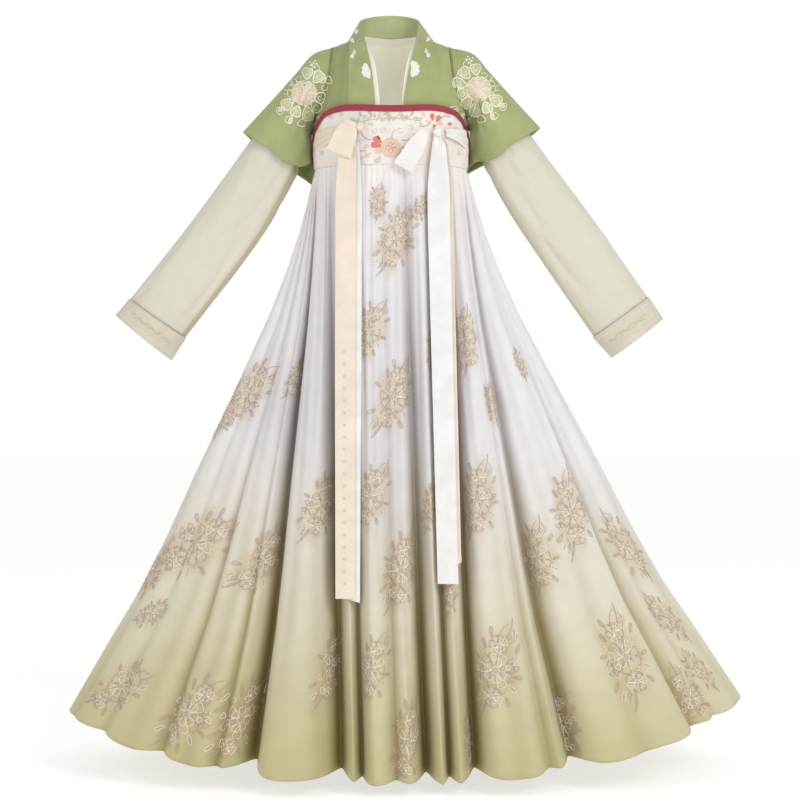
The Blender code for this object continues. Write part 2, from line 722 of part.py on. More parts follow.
DROPS = np.array([0.0, 0.07, 0.20, 0.40, 0.68, 1.0])
LOBE_STEPS = (0.0, 0.16, 0.5, 0.84)


def skirt_half(name, first, last):
    us = [k + s for k in range(first, last) for s in LOBE_STEPS] + [last]
    us = np.array(us, float)
    mid = skirt_points(us[:, None], DROPS[None, :])
    nrm = grid_normals(mid)
    centre = np.array([0.0, 0.0, -0.8])
    nrm = np.where((nrm * (mid - centre) * [1, 1, 0]).sum(-1, keepdims=True) < 0, -nrm, nrm)
    side = 1.0 if mid[len(us) // 2, -1, 1] > 0 else -1.0
    for k in (0, -1):
        # the side seams run straight down, where the halves meet face to face
        mid[k, :, 1] = side * 1.5 * SEAM
        nrm[k, :, 1] = 0.0
        nrm[k] /= np.linalg.norm(nrm[k], axis=-1, keepdims=True)
    return wall(name, mid, nrm, CLOTH, "skirt")


def skirt_front_y(x_low, x_high, z):
    """How far forward the skirt reaches at one height between two positions."""
    us = np.linspace(1, 14, 700)
    t = np.full_like(us, (SKIRT_TOP_Z - z) / 1.135)
    p = skirt_points(us, np.clip(t, 0.0, 1.0))
    inside = (p[:, 0] > x_low - 0.004) & (p[:, 0] < x_high + 0.004)
    return p[inside, 1].min()


# ---------------------------------------------------------------------- ties
def ribbon(name, path, across, widths, thick, colour):
    """A flat ribbon along a path, its width along a given direction at each point."""
    path, across = np.array(path), np.array(across)
    across = across / np.linalg.norm(across, axis=1, keepdims=True)
    half = (np.array(widths) / 2)[:, None]
    mid = np.stack([path - across * half, path + across * half], 0)
    along = np.gradient(path, axis=0)
    n = np.cross(along, across)
    n /= np.linalg.norm(n, axis=1, keepdims=True)
    return wall(name, mid, np.stack([n, n], 0), thick, colour)


def tail(name, rows, under, colour):
    """A hanging tail on the front of the skirt, or the under layer just behind it."""
    count = 12
    zs = np.linspace(rows["z"][0], rows["z"][-1], count)

    def column(key, z):
        return np.interp(-z, -rows["z"], rows[key])

    ys = []
    for z in zs:
        a = min(column("left", z), column("under_left", z))
        b = max(column("right", z), column("under_right", z))
        if z > SKIRT_TOP_Z:
            p = band_ring(np.radians(np.linspace(-60, 60, 121)), z, PIPING_OFF)
            inside = (p[:, 0] > a - 0.004) & (p[:, 0] < b + 0.004)
            ys.append(min(p[inside, 1].min(), skirt_front_y(a, b, SKIRT_TOP_Z - 0.03)))
        else:
            ys.append(skirt_front_y(a, b, z))
    ys = np.minimum.accumulate(np.array(ys))
    ys = ys - (0.0046 if under else 0.0086)
    if under:
        low = rows["z"][-1] + UNDER_SHORTER
        ys = np.append(ys[zs > low], np.interp(-low, -zs, ys))
        zs = np.append(zs[zs > low], low)
    key = "under_" if under else ""
    left, right = column(key + "left", zs), column(key + "right", zs)
    path = np.stack([(left + right) / 2, ys, zs], 1)
    return ribbon(name, path, np.tile([1.0, 0.0, 0.0], (len(zs), 1)), right - left, 0.0014, colour)


def on_band(x, z, off):
    """Point on the front of the chest band at a distance off its surface."""
    half = half_width(z) + off
    turn = np.arcsin(np.clip(abs(x) / half, 0, 1) ** (ROUND / 2)) * (1 if x > 0 else -1)
    return band_ring(np.array(turn), np.array(float(z)), off)


def strap(name, side, knot, low, high, colour):
    """Strap of a tie from behind the side seam round to its knot."""
    kx, kz = knot
    start = math.radians(112)
    end = float(np.arcsin((abs(kx) / half_width(kz)) ** (ROUND / 2))) + math.radians(9)
    turns = np.linspace(start, end, 12)
    f = np.linspace(0, 1, 12)
    zc = (low + high) / 2 * (1 - f) + kz * f
    wide = (high - low) * (1 - f) + 0.016 * f
    grid = []
    nrms = []
    for s in (-0.5, 0.5):
        z = zc + s * wide
        grid.append(band_ring(side * turns, z, STRAP_OFF))
        nrms.append(ring_normals(side * turns, z, STRAP_OFF))
    return wall(name, np.stack(grid, 0), np.stack(nrms, 0), CLOTH, colour)


def knot(name, centre, size, colour):
    """A small pulled-tight knot."""
    x, z = centre
    middle = on_band(x, z, STRAP_OFF + 0.0015 + size[1])
    points, faces = [], []
    rings, around = 5, 10
    for i in range(1, rings):
        a = math.pi * i / rings
        for j in range(around):
            b = 2 * math.pi * j / around
            points.append(middle + np.array([
                size[0] * math.sin(a) * math.cos(b),
                size[1] * math.sin(a) * math.sin(b),
                size[2] * math.cos(a),
            ]))
    top, low = len(points), len(points) + 1
    points.append(middle + np.array([0, 0, size[2]]))
    points.append(middle - np.array([0, 0, size[2]]))
    for i in range(rings - 2):
        for j in range(around):
            a, b = i * around + j, i * around + (j + 1) % around
            c, d = b + around, a + around
            faces += [(a, d, c), (a, c, b)]
    for j in range(around):
        faces.append((top, j, (j + 1) % around))
        k = (rings - 2) * around
        faces.append((low, k + (j + 1) % around, k + j))
    return add_mesh(name, np.array(points), np.array(faces), colour)


def loop(name, knot_at, end_at, width_top, width_end, colour, belly):
    """A flattened loop of ribbon that hangs from its knot and folds back at its end."""
    a = np.array([knot_at[0], knot_at[1]])
    b = np.array([end_at[0], end_at[1]])
    way = (b - a) / np.linalg.norm(b - a)
    side = np.array([-way[1], way[0]])
    path, across, widths = [], [], []
    for f, off in ((0.10, 0.0), (0.35, 0.0), (0.65, 0.0), (0.93, 0.0012), (1.0, 0.5 * belly),
                   (0.93, belly - 0.0012), (0.65, belly), (0.35, belly * 0.9), (0.10, belly * 0.7)):
        p = a + (b - a) * f
        path.append(on_band(p[0], p[1], STRAP_OFF + 0.0040 + off))
        across.append((side[0], 0.0, side[1]))
        widths.append(width_top + (width_end - width_top) * f)
    return ribbon(name, path, across, widths, 0.0014, colour)


# ------------------------------------------------------------------ assembly
def build():
    clear_scene()
    front_edge = lambda s: FRONT_SEAM_X + (NECK_HALF - FRONT_SEAM_X) * np.maximum(0.0, 1 - s / 0.3)
    for side, word in ((-1, "left"), (1, "right")):
        front_panel("shirt_front_" + word, side, shirt_edge_x, SHIRT_OFF, SHIRT_ARMPIT, "shirt", 6)
        front_panel("jacket_front_" + word, side, front_edge, JACKET_OFF, JACKET_ARMPIT, "jacket", 6)
    back_panel("shirt_back", 0.0735, SHIRT_BACK_SHARE, SHIRT_OFF, SHIRT_ARMPIT, "shirt", 13)
    back_panel("jacket_back", NECK_HALF, NECK_BACK_SHARE, JACKET_OFF, JACKET_ARMPIT, "jacket", 11)
    sleeve("jacket_sleeve_left", JACKET_SLEEVE_L, -1, JACKET_OFF, JACKET_ARMPIT, "jacket", 0.010)
    sleeve("jacket_sleeve_right", JACKET_SLEEVE_R, 1, JACKET_OFF, JACKET_ARMPIT, "jacket", 0.006)
    sleeve("shirt_sleeve_left", SHIRT_SLEEVE_L, -1, SHIRT_OFF, SHIRT_ARMPIT, "shirt")
    sleeve("shirt_sleeve_right", SHIRT_SLEEVE_R, 1, SHIRT_OFF, SHIRT_ARMPIT, "shirt")
    cuff("shirt_cuff_left", CUFF_L)
    cuff("shirt_cuff_right", CUFF_R)
    collar()
    shirt_neckband()
    chest_band("skirt_band_front", CHEST_TOP, False)
    chest_band("skirt_band_back", BACK_TOP, True)
    piping("band_piping_front", CHEST_TOP, False, 0.0125, 0.0050)
    piping("band_piping_back", BACK_TOP, True, 0.0100, 0.0050)
    seam_right = int(np.argmin(np.abs(FOLDS["top"] - 90.0)))
    skirt_half("skirt_front", 0, seam_right)
    skirt_half("skirt_back", seam_right, len(FOLDS["top"]) - 1)
    strap("tie_left_strap", -1, KNOT_L, -0.2150, -0.1700, "tie_cream")
    strap("tie_right_strap", 1, KNOT_R, -0.2080, -0.1620, "tie_white")
    knot("tie_left_knot", KNOT_L, (0.0090, 0.0070, 0.0110), "tie_cream")
    knot("tie_right_knot", KNOT_R, (0.0095, 0.0070, 0.0110), "tie_white")
    loop("tie_left_loop", (-0.0770, -0.1540), (-0.1010, -0.2170), 0.024, 0.051, "tie_cream", 0.009)
    loop("tie_right_loop", (0.0650, -0.1740), (0.0235, -0.2450), 0.026, 0.040, "tie_white", 0.009)
    tail("tie_left_tail", TAIL_L, False, "tie_cream")
    tail("tie_left_under", TAIL_L, True, "tie_white")
    tail("tie_right_tail", TAIL_R, False, "tie_white")
    tail("tie_right_under", TAIL_R, True, "tie_cream")


build()
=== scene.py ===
# Looks of a three-piece outfit: sheer under-shirt, short open half-sleeve jacket and
# chest-high pleated skirt with two knotted ties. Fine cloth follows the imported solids;
# embroidery and printed sprays lie on it as their own thin pieces.

import math

import bpy
import numpy as np
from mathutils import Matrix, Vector
from mathutils.bvhtree import BVHTree


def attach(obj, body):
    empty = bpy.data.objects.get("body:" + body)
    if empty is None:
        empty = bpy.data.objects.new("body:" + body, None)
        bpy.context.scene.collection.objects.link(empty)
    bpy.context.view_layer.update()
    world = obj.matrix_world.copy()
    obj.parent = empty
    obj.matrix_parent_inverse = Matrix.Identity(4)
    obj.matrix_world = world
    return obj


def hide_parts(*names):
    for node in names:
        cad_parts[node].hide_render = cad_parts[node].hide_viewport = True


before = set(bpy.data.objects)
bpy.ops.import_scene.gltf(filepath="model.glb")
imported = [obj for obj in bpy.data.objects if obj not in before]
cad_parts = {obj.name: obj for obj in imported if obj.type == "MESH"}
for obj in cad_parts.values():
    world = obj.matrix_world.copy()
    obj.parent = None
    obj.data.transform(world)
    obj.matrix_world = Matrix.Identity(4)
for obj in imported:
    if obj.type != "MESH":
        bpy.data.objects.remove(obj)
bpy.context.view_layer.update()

# ---------------------------------------------------------------- driving sizes
SEAM = 0.0004
SHIRT_OFF = 0.0
JACKET_OFF = 0.0052
CHEST_OFF = 0.0110
PIPING_OFF = 0.0145
STRAP_OFF = 0.0190
ROUND = 2.2
ARMPIT_Z = -0.125
SHIRT_ARMPIT = 1.0
JACKET_ARMPIT = 1.05
BODY_LOW_Z = -0.400
NECK_HALF = 0.083
FRONT_SEAM_X = 0.079
SKIRT_TOP_Z = -0.2354
SLANT = 1.157
HEM_CENTRE_X = 0.0275
HEM_HALF_WIDTH = 0.6535
HEM_HALF_DEPTH = 0.345

# the view that the surface ornaments are laid out for
VIEW_X, VIEW_Y, VIEW_Z, VIEW_SCALE, VIEW_MID = 0.0176, -4.0, -0.6825, 2051.3, 400.0


def table(names, *rows):
    """A small table as named columns."""
    return {n: np.array([r[i] for r in rows], float) for i, n in enumerate(names.split())}


BODY = table(
    "z half_width half_depth",
    (0.060, 0.143, 0.1070),
    (-0.125, 0.143, 0.1070),
    (-0.185, 0.1435, 0.1090),
    (-0.235, 0.137, 0.1060),
    (-0.400, 0.150, 0.1140),
)

# shoulder line from the neck side to the armhole seam
SHOULDER = table(
    "x z",
    (0.083, 0.0090),
    (0.095, 0.0045),
    (0.107, 0.0000),
    (0.130, -0.0060),
    (0.152, -0.0130),
)

# armhole seam: how far out it runs at each height
ARMHOLE = table(
    "z x",
    (-0.1250, 0.1430),
    (-0.1220, 0.1415),
    (-0.1120, 0.1360),
    (-0.0950, 0.1265),
    (-0.0700, 0.1170),
    (-0.0400, 0.1110),
    (0.0200, 0.1070),
)

# jacket half-sleeves, sections from shoulder to hem: upper and lower point of each
JACKET_SLEEVE_L = table(
    "top_x top_z low_x low_z half_depth",
    (-0.1510, -0.0100, -0.1680, -0.1520, 0.0740),
    (-0.1860, -0.0490, -0.1690, -0.2000, 0.0700),
    (-0.2330, -0.1020, -0.1730, -0.2380, 0.0640),
    (-0.2868, -0.1618, -0.1770, -0.2560, 0.0580),
)
JACKET_SLEEVE_R = table(
    "top_x top_z low_x low_z half_depth",
    (0.1590, -0.0090, 0.1680, -0.1480, 0.0740),
    (0.1900, -0.0430, 0.1690, -0.1880, 0.0700),
    (0.2360, -0.0950, 0.1725, -0.2200, 0.0640),
    (0.2892, -0.1540, 0.1760, -0.2370, 0.0580),
)
# under-shirt sleeves, shoulder to cuff seam, then the two ends of the cuff
SHIRT_SLEEVE_L = table(
    "top_x top_z low_x low_z half_depth",
    (-0.1490, -0.0190, -0.1700, -0.1400, 0.0660),
    (-0.1800, -0.0560, -0.1745, -0.1900, 0.0620),
    (-0.2260, -0.1120, -0.1790, -0.2280, 0.0550),
    (-0.2745, -0.1780, -0.1870, -0.2520, 0.0480),
    (-0.3350, -0.2620, -0.2330, -0.3350, 0.0440),
    (-0.3980, -0.3470, -0.2920, -0.4200, 0.0420),
    (-0.5090, -0.4875, -0.4020, -0.5616, 0.0400),
)
SHIRT_SLEEVE_R = table(
    "top_x top_z low_x low_z half_depth",
    (0.1565, -0.0185, 0.1700, -0.1370, 0.0660),
    (0.1840, -0.0510, 0.1745, -0.1790, 0.0620),
    (0.2290, -0.1070, 0.1785, -0.2120, 0.0550),
    (0.2740, -0.1690, 0.1845, -0.2340, 0.0480),
    (0.3320, -0.2470, 0.2290, -0.3140, 0.0440),
    (0.3880, -0.3220, 0.2830, -0.3960, 0.0420),
    (0.5012, -0.4836, 0.3959, -0.5596, 0.0400),
)
CUFF_L = table(
    "top_x top_z low_x low_z half_depth",
    (-0.5100, -0.4868, -0.4010, -0.5624, 0.0415),
    (-0.5350, -0.5170, -0.4280, -0.6035, 0.0430),
)
CUFF_R = table(
    "top_x top_z low_x low_z half_depth",
    (0.5022, -0.4829, 0.3950, -0.5604, 0.0415),
    (0.5290, -0.5240, 0.4300, -0.5990, 0.0430),
)

# collar and front band: free edge beside each point of the seam, from the hidden
# lower end up the front (seam height as a share of the way round the shoulder)
BAND_FRONT = table(
    "share free_left free_right free_y free_z",
    (2.000, -0.0280, 0.0230, 0.0, 0.0),
    (1.400, -0.0285, 0.0235, 0.0, 0.0),
    (1.218, -0.0285, 0.0235, 0.0, 0.0),
    (1.000, -0.0295, 0.0245, 0.0, 0.0),
    (0.80, -0.0335, 0.0305, 0.0, 0.0),
    (0.60, -0.0390, 0.0375, 0.0, 0.0),
    (0.40, -0.0445, 0.0440, -0.0760, -0.0120),
    (0.25, -0.0492, 0.0478, -0.0610, 0.0080),
    (0.12, -0.0545, 0.0508, -0.0400, 0.0285),
    (0.00, -0.0600, 0.0545, -0.0140, 0.0490),
)
# the same band standing behind the neck
BAND_BACK = table(
    "seam_x free_left free_right free_y free_z",
    (0.0750, -0.0590, 0.0535, 0.0180, 0.0600),
    (0.0600, -0.0510, 0.0465, 0.0400, 0.0680),
    (0.0350, -0.0310, 0.0285, 0.0570, 0.0755),
    (0.0000, -0.0008, -0.0008, 0.0630, 0.0786),
)
NECK_BACK_SHARE = 0.357   # depth of the back neckline

SHIRT_EDGE = table(
    "share seam_x width",
    (2.000, 0.0325, 0.0120),
    (1.400, 0.0325, 0.0120),
    (1.218, 0.0325, 0.0120),
    (1.000, 0.0325, 0.0120),
    (0.80, 0.0370, 0.0120),
    (0.60, 0.0435, 0.0120),
    (0.40, 0.0515, 0.0110),
    (0.25, 0.0595, 0.0100),
    (0.10, 0.0675, 0.0090),
    (0.00, 0.0735, 0.0085),
)
SHIRT_BACK_SHARE = 0.44

# top edge of the front chest band, by angle round the body
CHEST_TOP = table(
    "angle z",
    (0.0, -0.1260),
    (42.0, -0.1265),
    (52.0, -0.1330),
    (60.0, -0.1450),
    (68.0, -0.1640),
    (75.0, -0.1880),
    (80.0, -0.2100),
    (84.0, -0.2300),
)
BACK_TOP = table(
    "angle z",
    (0.0, -0.1500),
    (52.0, -0.1510),
    (62.0, -0.1620),
    (72.0, -0.1840),
    (80.0, -0.2100),
    (84.0, -0.2300),
)

# how the skirt spreads out on its way down
SPREAD = table(
    "drop spread",
    (0.00, 0.000),
    (0.06, 0.022),
    (0.12, 0.058),
    (0.19, 0.110),
    (0.27, 0.180),
    (0.37, 0.285),
    (0.46, 0.380),
    (0.57, 0.494),
    (0.68, 0.603),
    (0.78, 0.713),
    (0.88, 0.846),
    (1.00, 1.000),
)

# fold valleys from the left side round the front to the right side, then the back.
# angle at the band, angle at the hem (0 = middle of the front), depth and half-width
# of the valley at the hem
FOLDS = table(
    "top hem depth width",
    (-90.0, -90.0, 0.012, 0.030),
    (-86.0, -60.0, 0.022, 0.020),
    (-82.0, -43.0, 0.050, 0.024),
    (-78.0, -30.5, 0.034, 0.016),
    (-73.0, -24.6, 0.080, 0.024),
    (-49.0, -9.2, 0.078, 0.022),
    (-30.0, -5.8, 0.052, 0.011),
    (-6.0, -1.0, 0.026, 0.016),
    (9.0, 2.6, 0.080, 0.018),
    (26.0, 5.9, 0.052, 0.011),
    (47.0, 10.0, 0.076, 0.018),
    (62.0, 22.0, 0.034, 0.020),
    (71.0, 27.0, 0.066, 0.024),
    (81.0, 55.5, 0.036, 0.018),
    (85.5, 63.0, 0.022, 0.016),
    (90.0, 90.0, 0.012, 0.030),
    (97.0, 118.0, 0.046, 0.024),
    (104.0, 139.0, 0.030, 0.020),
    (110.0, 151.0, 0.072, 0.024),
    (128.0, 162.0, 0.040, 0.018),
    (143.0, 168.5, 0.074, 0.020),
    (158.0, 174.0, 0.050, 0.014),
    (176.0, 179.5, 0.030, 0.016),
    (191.0, 184.0, 0.076, 0.020),
    (209.0, 190.0, 0.048, 0.014),
    (224.0, 197.0, 0.070, 0.022),
    (243.0, 209.0, 0.038, 0.020),
    (254.0, 221.0, 0.074, 0.024),
    (263.0, 238.0, 0.030, 0.020),
    (270.0, 270.0, 0.012, 0.030),
)

# ties: knot centres, loops and hanging tails (x and z on the front of the band)
KNOT_L = (-0.0530, -0.1690)
KNOT_R = (0.0880, -0.1740)
TAIL_L = table(
    "z left right under_left under_right",
    (-0.2220, -0.0980, -0.0650, -0.0860, -0.0580),
    (-0.2650, -0.1040, -0.0660, -0.0900, -0.0545),
    (-0.6000, -0.1035, -0.0660, -0.0900, -0.0545),
    (-1.0450, -0.1000, -0.0650, -0.0880, -0.0555),
)
TAIL_R = table(
    "z left right under_left under_right",
    (-0.2040, 0.0780, 0.1040, 0.0860, 0.1090),
    (-0.2450, 0.0705, 0.1110, 0.0800, 0.1180),
    (-0.3350, 0.0700, 0.1120, 0.0800, 0.1185),
    (-1.0180, 0.0865, 0.1240, 0.0960, 0.1305),
)
UNDER_SHORTER = 0.010     # the under layer of each tail ends this much higher


def grid_normals(mid, wrap=False):
    """Unit normals of a grid of points, by differences along its rows and columns."""
    if wrap:
        du = np.roll(mid, -1, 0) - np.roll(mid, 1, 0)
    else:
        du = np.gradient(mid, axis=0)
    dv = np.gradient(mid, axis=1)
    nrm = np.cross(du, dv)
    size = np.linalg.norm(nrm, axis=2, keepdims=True)
    return nrm / np.maximum(size, 1e-12)


def facing(nrm, mid, centre):
    """Normals turned to point away from a centre line."""
    away = mid - centre
    if (nrm * away).sum() < 0:
        return -nrm
    return nrm


def half_width(z):
    return np.interp(-z, -BODY["z"], BODY["half_width"])


def half_depth(z):
    return np.interp(-z, -BODY["z"], BODY["half_depth"])


def shoulder_z(x, back):
    """Top of the shoulder; between the neck sides the back rises to the collar."""
    x = np.abs(x)
    out = np.interp(x, SHOULDER["x"], SHOULDER["z"])
    rise = np.where(back, 0.0485, 0.0100)
    inside = 0.009 + rise * np.clip(1 - (x / NECK_HALF) ** 2, 0, 1)
    return np.where(x < NECK_HALF, inside, out)


def body(x, share, back):
    """Point of the body surface: share 0 is the shoulder line, 1 the armpit level and
    2 the lower edge."""
    x, share, back = np.broadcast_arrays(np.asarray(x, float), share, back)
    turn = (1 - np.clip(share, 0, 1)) * np.pi / 2
    top = shoulder_z(x, back)
    z = ARMPIT_Z + (top - ARMPIT_Z) * np.sin(turn) ** (2 / ROUND)
    thin = np.cos(turn) ** (2 / ROUND)
    z = np.where(share > 1, ARMPIT_Z + (share - 1) * (BODY_LOW_Z - ARMPIT_Z), z)
    thin = np.where(share > 1, 1.0, thin)
    side = np.clip(1 - np.clip(np.abs(x) / half_width(z), 0, 1) ** ROUND, 0, 1) ** (1 / ROUND)
    y = half_depth(z) * side * thin * np.where(back, 1, -1)
    return np.stack([x, y, z], -1)


def body_level(p, back):
    """Below 0 inside the body surface and above 0 outside it."""
    x, y, z = p[..., 0], p[..., 1], p[..., 2]
    high = np.clip((z - ARMPIT_Z) / (shoulder_z(x, back) - ARMPIT_Z), 0, None) ** ROUND
    wide = (np.abs(x) / half_width(z)) ** ROUND
    return (np.abs(y) / half_depth(z)) ** ROUND - (1 - wide) * (1 - high)


def body_out(x, share, back, off):
    """A body point moved out by off, and the outward direction there."""
    p = body(x, share, back)
    nrm = np.zeros_like(p)
    for k in range(3):
        step = np.zeros(3)
        step[k] = 2e-4
        nrm[..., k] = body_level(p + step, back) - body_level(p - step, back)
    nrm /= np.linalg.norm(nrm, axis=-1, keepdims=True)
    return p + nrm * off, nrm


def armhole_x(share, armpit, back=False):
    """Distance of the armhole seam from the middle at a share of the shoulder's round;
    below the armpit it is the side seam."""
    share = np.asarray(share, float)
    low = ARMPIT_Z + (armpit - 1) * (BODY_LOW_Z - ARMPIT_Z)
    x = np.full(share.shape, 0.107)
    for _ in range(6):
        z = body(x, share, back)[..., 2]
        x = np.interp(z * ARMPIT_Z / low, ARMHOLE["z"], ARMHOLE["x"])
    z = body(x, share, back)[..., 2]
    return np.where(share >= armpit, half_width(z), x)


def oval_x(half, turn):
    return half * np.sign(np.sin(turn)) * np.abs(np.sin(turn)) ** (2 / ROUND)


def oval(half_w, half_d, turn):
    """Point of a rounded oval; turn 0 faces the front, a quarter turn the right side."""
    s, c = np.sin(turn), np.cos(turn)
    x = half_w * np.sign(s) * np.abs(s) ** (2 / ROUND)
    y = -half_d * np.sign(c) * np.abs(c) ** (2 / ROUND)
    return x, y


def shares(armpit):
    """Levels of the panel rows, which the sleeves' roots share."""
    above = np.array([0.006, 0.12, 0.28, 0.45, 0.62, 0.77, 0.87, 0.93, 0.97]) * armpit
    return np.concatenate([above, [armpit, 1.218, 1.40, 2.0]])


def panel_columns(inner_x, outer_x, share, count, back):
    """Evenly turned positions between two distances from the middle at one height."""
    z = body(outer_x, share, back)[..., 2]
    half = half_width(z)
    a = np.arcsin(np.clip(inner_x / half, 0, 1) ** (ROUND / 2))
    b = np.arcsin(np.clip(outer_x / half, 0, 1) ** (ROUND / 2))
    b = min(b, math.radians(89.6))
    turn = np.linspace(a, b, count)
    return half * np.sin(turn) ** (2 / ROUND)


def sleeve_turns(armpit):
    """Turns round a sleeve that meet the rows of the panels at the armhole."""
    levels = shares(armpit)
    levels = levels[levels <= armpit + 1e-9] / armpit
    levels[0] = 0.0
    front = levels * np.pi
    return np.concatenate([front, 2 * np.pi - front[-2:0:-1]])


def sleeve_loops(rows, side, off, armpit, turns):
    """Mid-surface loops of a sleeve: the armhole first, then each row's oval."""
    share = (1 - np.abs(turns / np.pi - 1)) * armpit
    share = np.where(share > 0.9999 * armpit, 0.9999 * armpit, np.maximum(share, 0.003))
    back = turns > np.pi
    x = armhole_x(share, armpit, back) + SEAM
    root, root_n = body_out(side * np.minimum(x + SEAM, 0.1428), share, back, off)
    loops = [root]
    for i in range(len(rows["top_x"])):
        top = np.array([rows["top_x"][i], 0.0, rows["top_z"][i]])
        low = np.array([rows["low_x"][i], 0.0, rows["low_z"][i]])
        c, s = np.cos(turns)[:, None], np.sin(turns)[:, None]
        loop = (top + low) / 2 + c * (top - low) / 2 + s * np.array([0.0, -rows["half_depth"][i], 0.0])
        loops.append(loop)
    # start just clear of the panels that the armhole is sewn to
    way = loops[1] - loops[0]
    way /= np.linalg.norm(way, axis=1, keepdims=True)
    lift = np.abs((way * root_n).sum(1, keepdims=True))
    loops[0] = loops[0] + way * (SEAM + 0.0058 * lift)
    return np.stack(loops, 1)


BAND_STEPS = (0.0, 0.33, 0.67, 1.0)


def body_at(x, z):
    """How far forward the chest lies at a position and height, jacket layer."""
    half = half_width(z) + JACKET_OFF
    top = float(shoulder_z(x, False)) + JACKET_OFF
    thin = 1.0
    if z > ARMPIT_Z:
        thin = max(0.0, 1 - ((z - ARMPIT_Z) / (top - ARMPIT_Z)) ** ROUND) ** (1 / ROUND)
    side = (1 - min(abs(x) / half, 1.0) ** ROUND) ** (1 / ROUND)
    return -(half_depth(z) + JACKET_OFF) * side * thin


def band_stations(side):
    """Seam and free edge of the collar band on one side, from the low front end to the
    middle of the back."""
    rows = []

    def row(p, n, q, on_chest):
        way = (q - p) / np.linalg.norm(q - p)
        start = p + way * (SEAM + 0.0032 * abs((way * n).sum()))
        points = [start + (q - start) * f for f in BAND_STEPS]
        if on_chest:
            # the band lies on the chest, so its middle bows out with it
            for k in range(1, len(points) - 1):
                half = half_width(points[k][2]) + JACKET_OFF
                rise = 1 - min(abs(points[k][0]) / half, 1) ** ROUND
                lean = points[0][1] / body_at(points[0][0], points[0][2])
                points[k][1] = body_at(points[k][0], points[k][2]) * lean if rise > 0 else points[k][1]
        rows.append(points)

    for i, share in enumerate(BAND_FRONT["share"]):
        x = FRONT_SEAM_X - SEAM + (NECK_HALF - FRONT_SEAM_X) * max(0.0, 1 - share / 0.3)
        p, n = body_out(side * x, max(share, 0.004), False, JACKET_OFF)
        fx = BAND_FRONT["free_right" if side > 0 else "free_left"][i]
        if BAND_FRONT["free_z"][i] == 0.0:
            q = np.array([fx, body_at(fx, p[2]) * p[1] / body_at(p[0], p[2]), p[2]])
            row(p, n, q, True)
        else:
            row(p, n, np.array([fx, BAND_FRONT["free_y"][i], BAND_FRONT["free_z"][i]]), False)
    for i, x in enumerate(BAND_BACK["seam_x"]):
        share = NECK_BACK_SHARE * (1 - (x / NECK_HALF) ** 2) ** 0.6
        p, n = body_out(side * x, share, True, JACKET_OFF)
        fx = BAND_BACK["free_right" if side > 0 else "free_left"][i]
        row(p, n, np.array([fx, BAND_BACK["free_y"][i], BAND_BACK["free_z"][i]]), False)
    return np.array(rows)


def band_ring(turn, z, off):
    x, y = oval(half_width(z) + off, half_depth(z) + off, turn)
    return np.stack(np.broadcast_arrays(x, y, z), -1)


def ring_normals(turn, z, off):
    e = 1e-3
    d = band_ring(turn + e, z, off) - band_ring(turn - e, z, off)
    n = np.stack([-d[..., 1], d[..., 0], 0 * d[..., 2]], -1)
    n /= np.linalg.norm(n, axis=-1, keepdims=True)
    p = band_ring(turn, z, off)
    return np.where((n * p * [1, 1, 0]).sum(-1, keepdims=True) < 0, -n, n)


def skirt_points(u, t):
    """Skirt surface: u counts the folds round the body, t goes from band to hem."""
    index = np.arange(len(FOLDS["top"]))
    top = np.radians(np.interp(u, index, FOLDS["top"]))
    hem = np.radians(np.interp(u, index, FOLDS["hem"]))
    zt = SKIRT_TOP_Z - 2 * SEAM
    ax, ay = oval(half_width(zt) + CHEST_OFF, half_depth(zt) + CHEST_OFF, top)
    bx, by = oval(HEM_HALF_WIDTH, HEM_HALF_DEPTH, hem)
    bx = bx + HEM_CENTRE_X
    e = 1e-3
    cx, cy = oval(HEM_HALF_WIDTH, HEM_HALF_DEPTH, hem + e)
    dx, dy = oval(HEM_HALF_WIDTH, HEM_HALF_DEPTH, hem - e)
    nx, ny = (cy - dy), -(cx - dx)
    size = np.hypot(nx, ny)
    nx, ny = nx / size, ny / size
    flip = np.where(nx * (bx - HEM_CENTRE_X) + ny * by < 0, -1, 1)
    nx, ny = nx * flip, ny * flip
    # distance along the hem to the valley on either side
    lo = np.clip(np.floor(u).astype(int), 0, len(index) - 2)
    f = u - lo
    hx, hy = oval(HEM_HALF_WIDTH, HEM_HALF_DEPTH, np.radians(FOLDS["hem"]))
    lobe = np.hypot(hx[lo + 1] - hx[lo], hy[lo + 1] - hy[lo])
    valley = np.zeros(np.broadcast(u, t).shape)
    for k, dist in ((lo, f * lobe), (lo + 1, (1 - f) * lobe)):
        valley = np.maximum(valley, FOLDS["depth"][k] * np.exp(-(dist / FOLDS["width"][k]) ** 1.6))
    bulge = np.minimum(0.13 * lobe, 0.026) * (1 - (2 * f - 1) ** 2)
    crest = 1 - np.exp(-((np.minimum(f, 1 - f) / 0.22) ** 2))
    spread = np.interp(t, SPREAD["drop"], SPREAD["spread"])
    push = bulge * t - valley * t ** 1.15 + 0.0055 * crest * (1 - t) * np.clip(t / 0.05, 0, 1)
    lh = np.hypot(bx - ax, by - ay)
    hem_z = zt - np.sqrt(SLANT ** 2 - lh ** 2) + 0.12 * valley
    x = ax + (bx - ax) * spread + nx * push
    y = ay + (by - ay) * spread + ny * push
    z = zt + (hem_z - zt) * t
    return np.stack(np.broadcast_arrays(x, y, z), -1)


def skirt_front_y(x_low, x_high, z):
    """How far forward the skirt reaches at one height between two positions."""
    us = np.linspace(1, 14, 700)
    t = np.full_like(us, (SKIRT_TOP_Z - z) / 1.135)
    p = skirt_points(us, np.clip(t, 0.0, 1.0))
    inside = (p[:, 0] > x_low - 0.004) & (p[:, 0] < x_high + 0.004)
    return p[inside, 1].min()


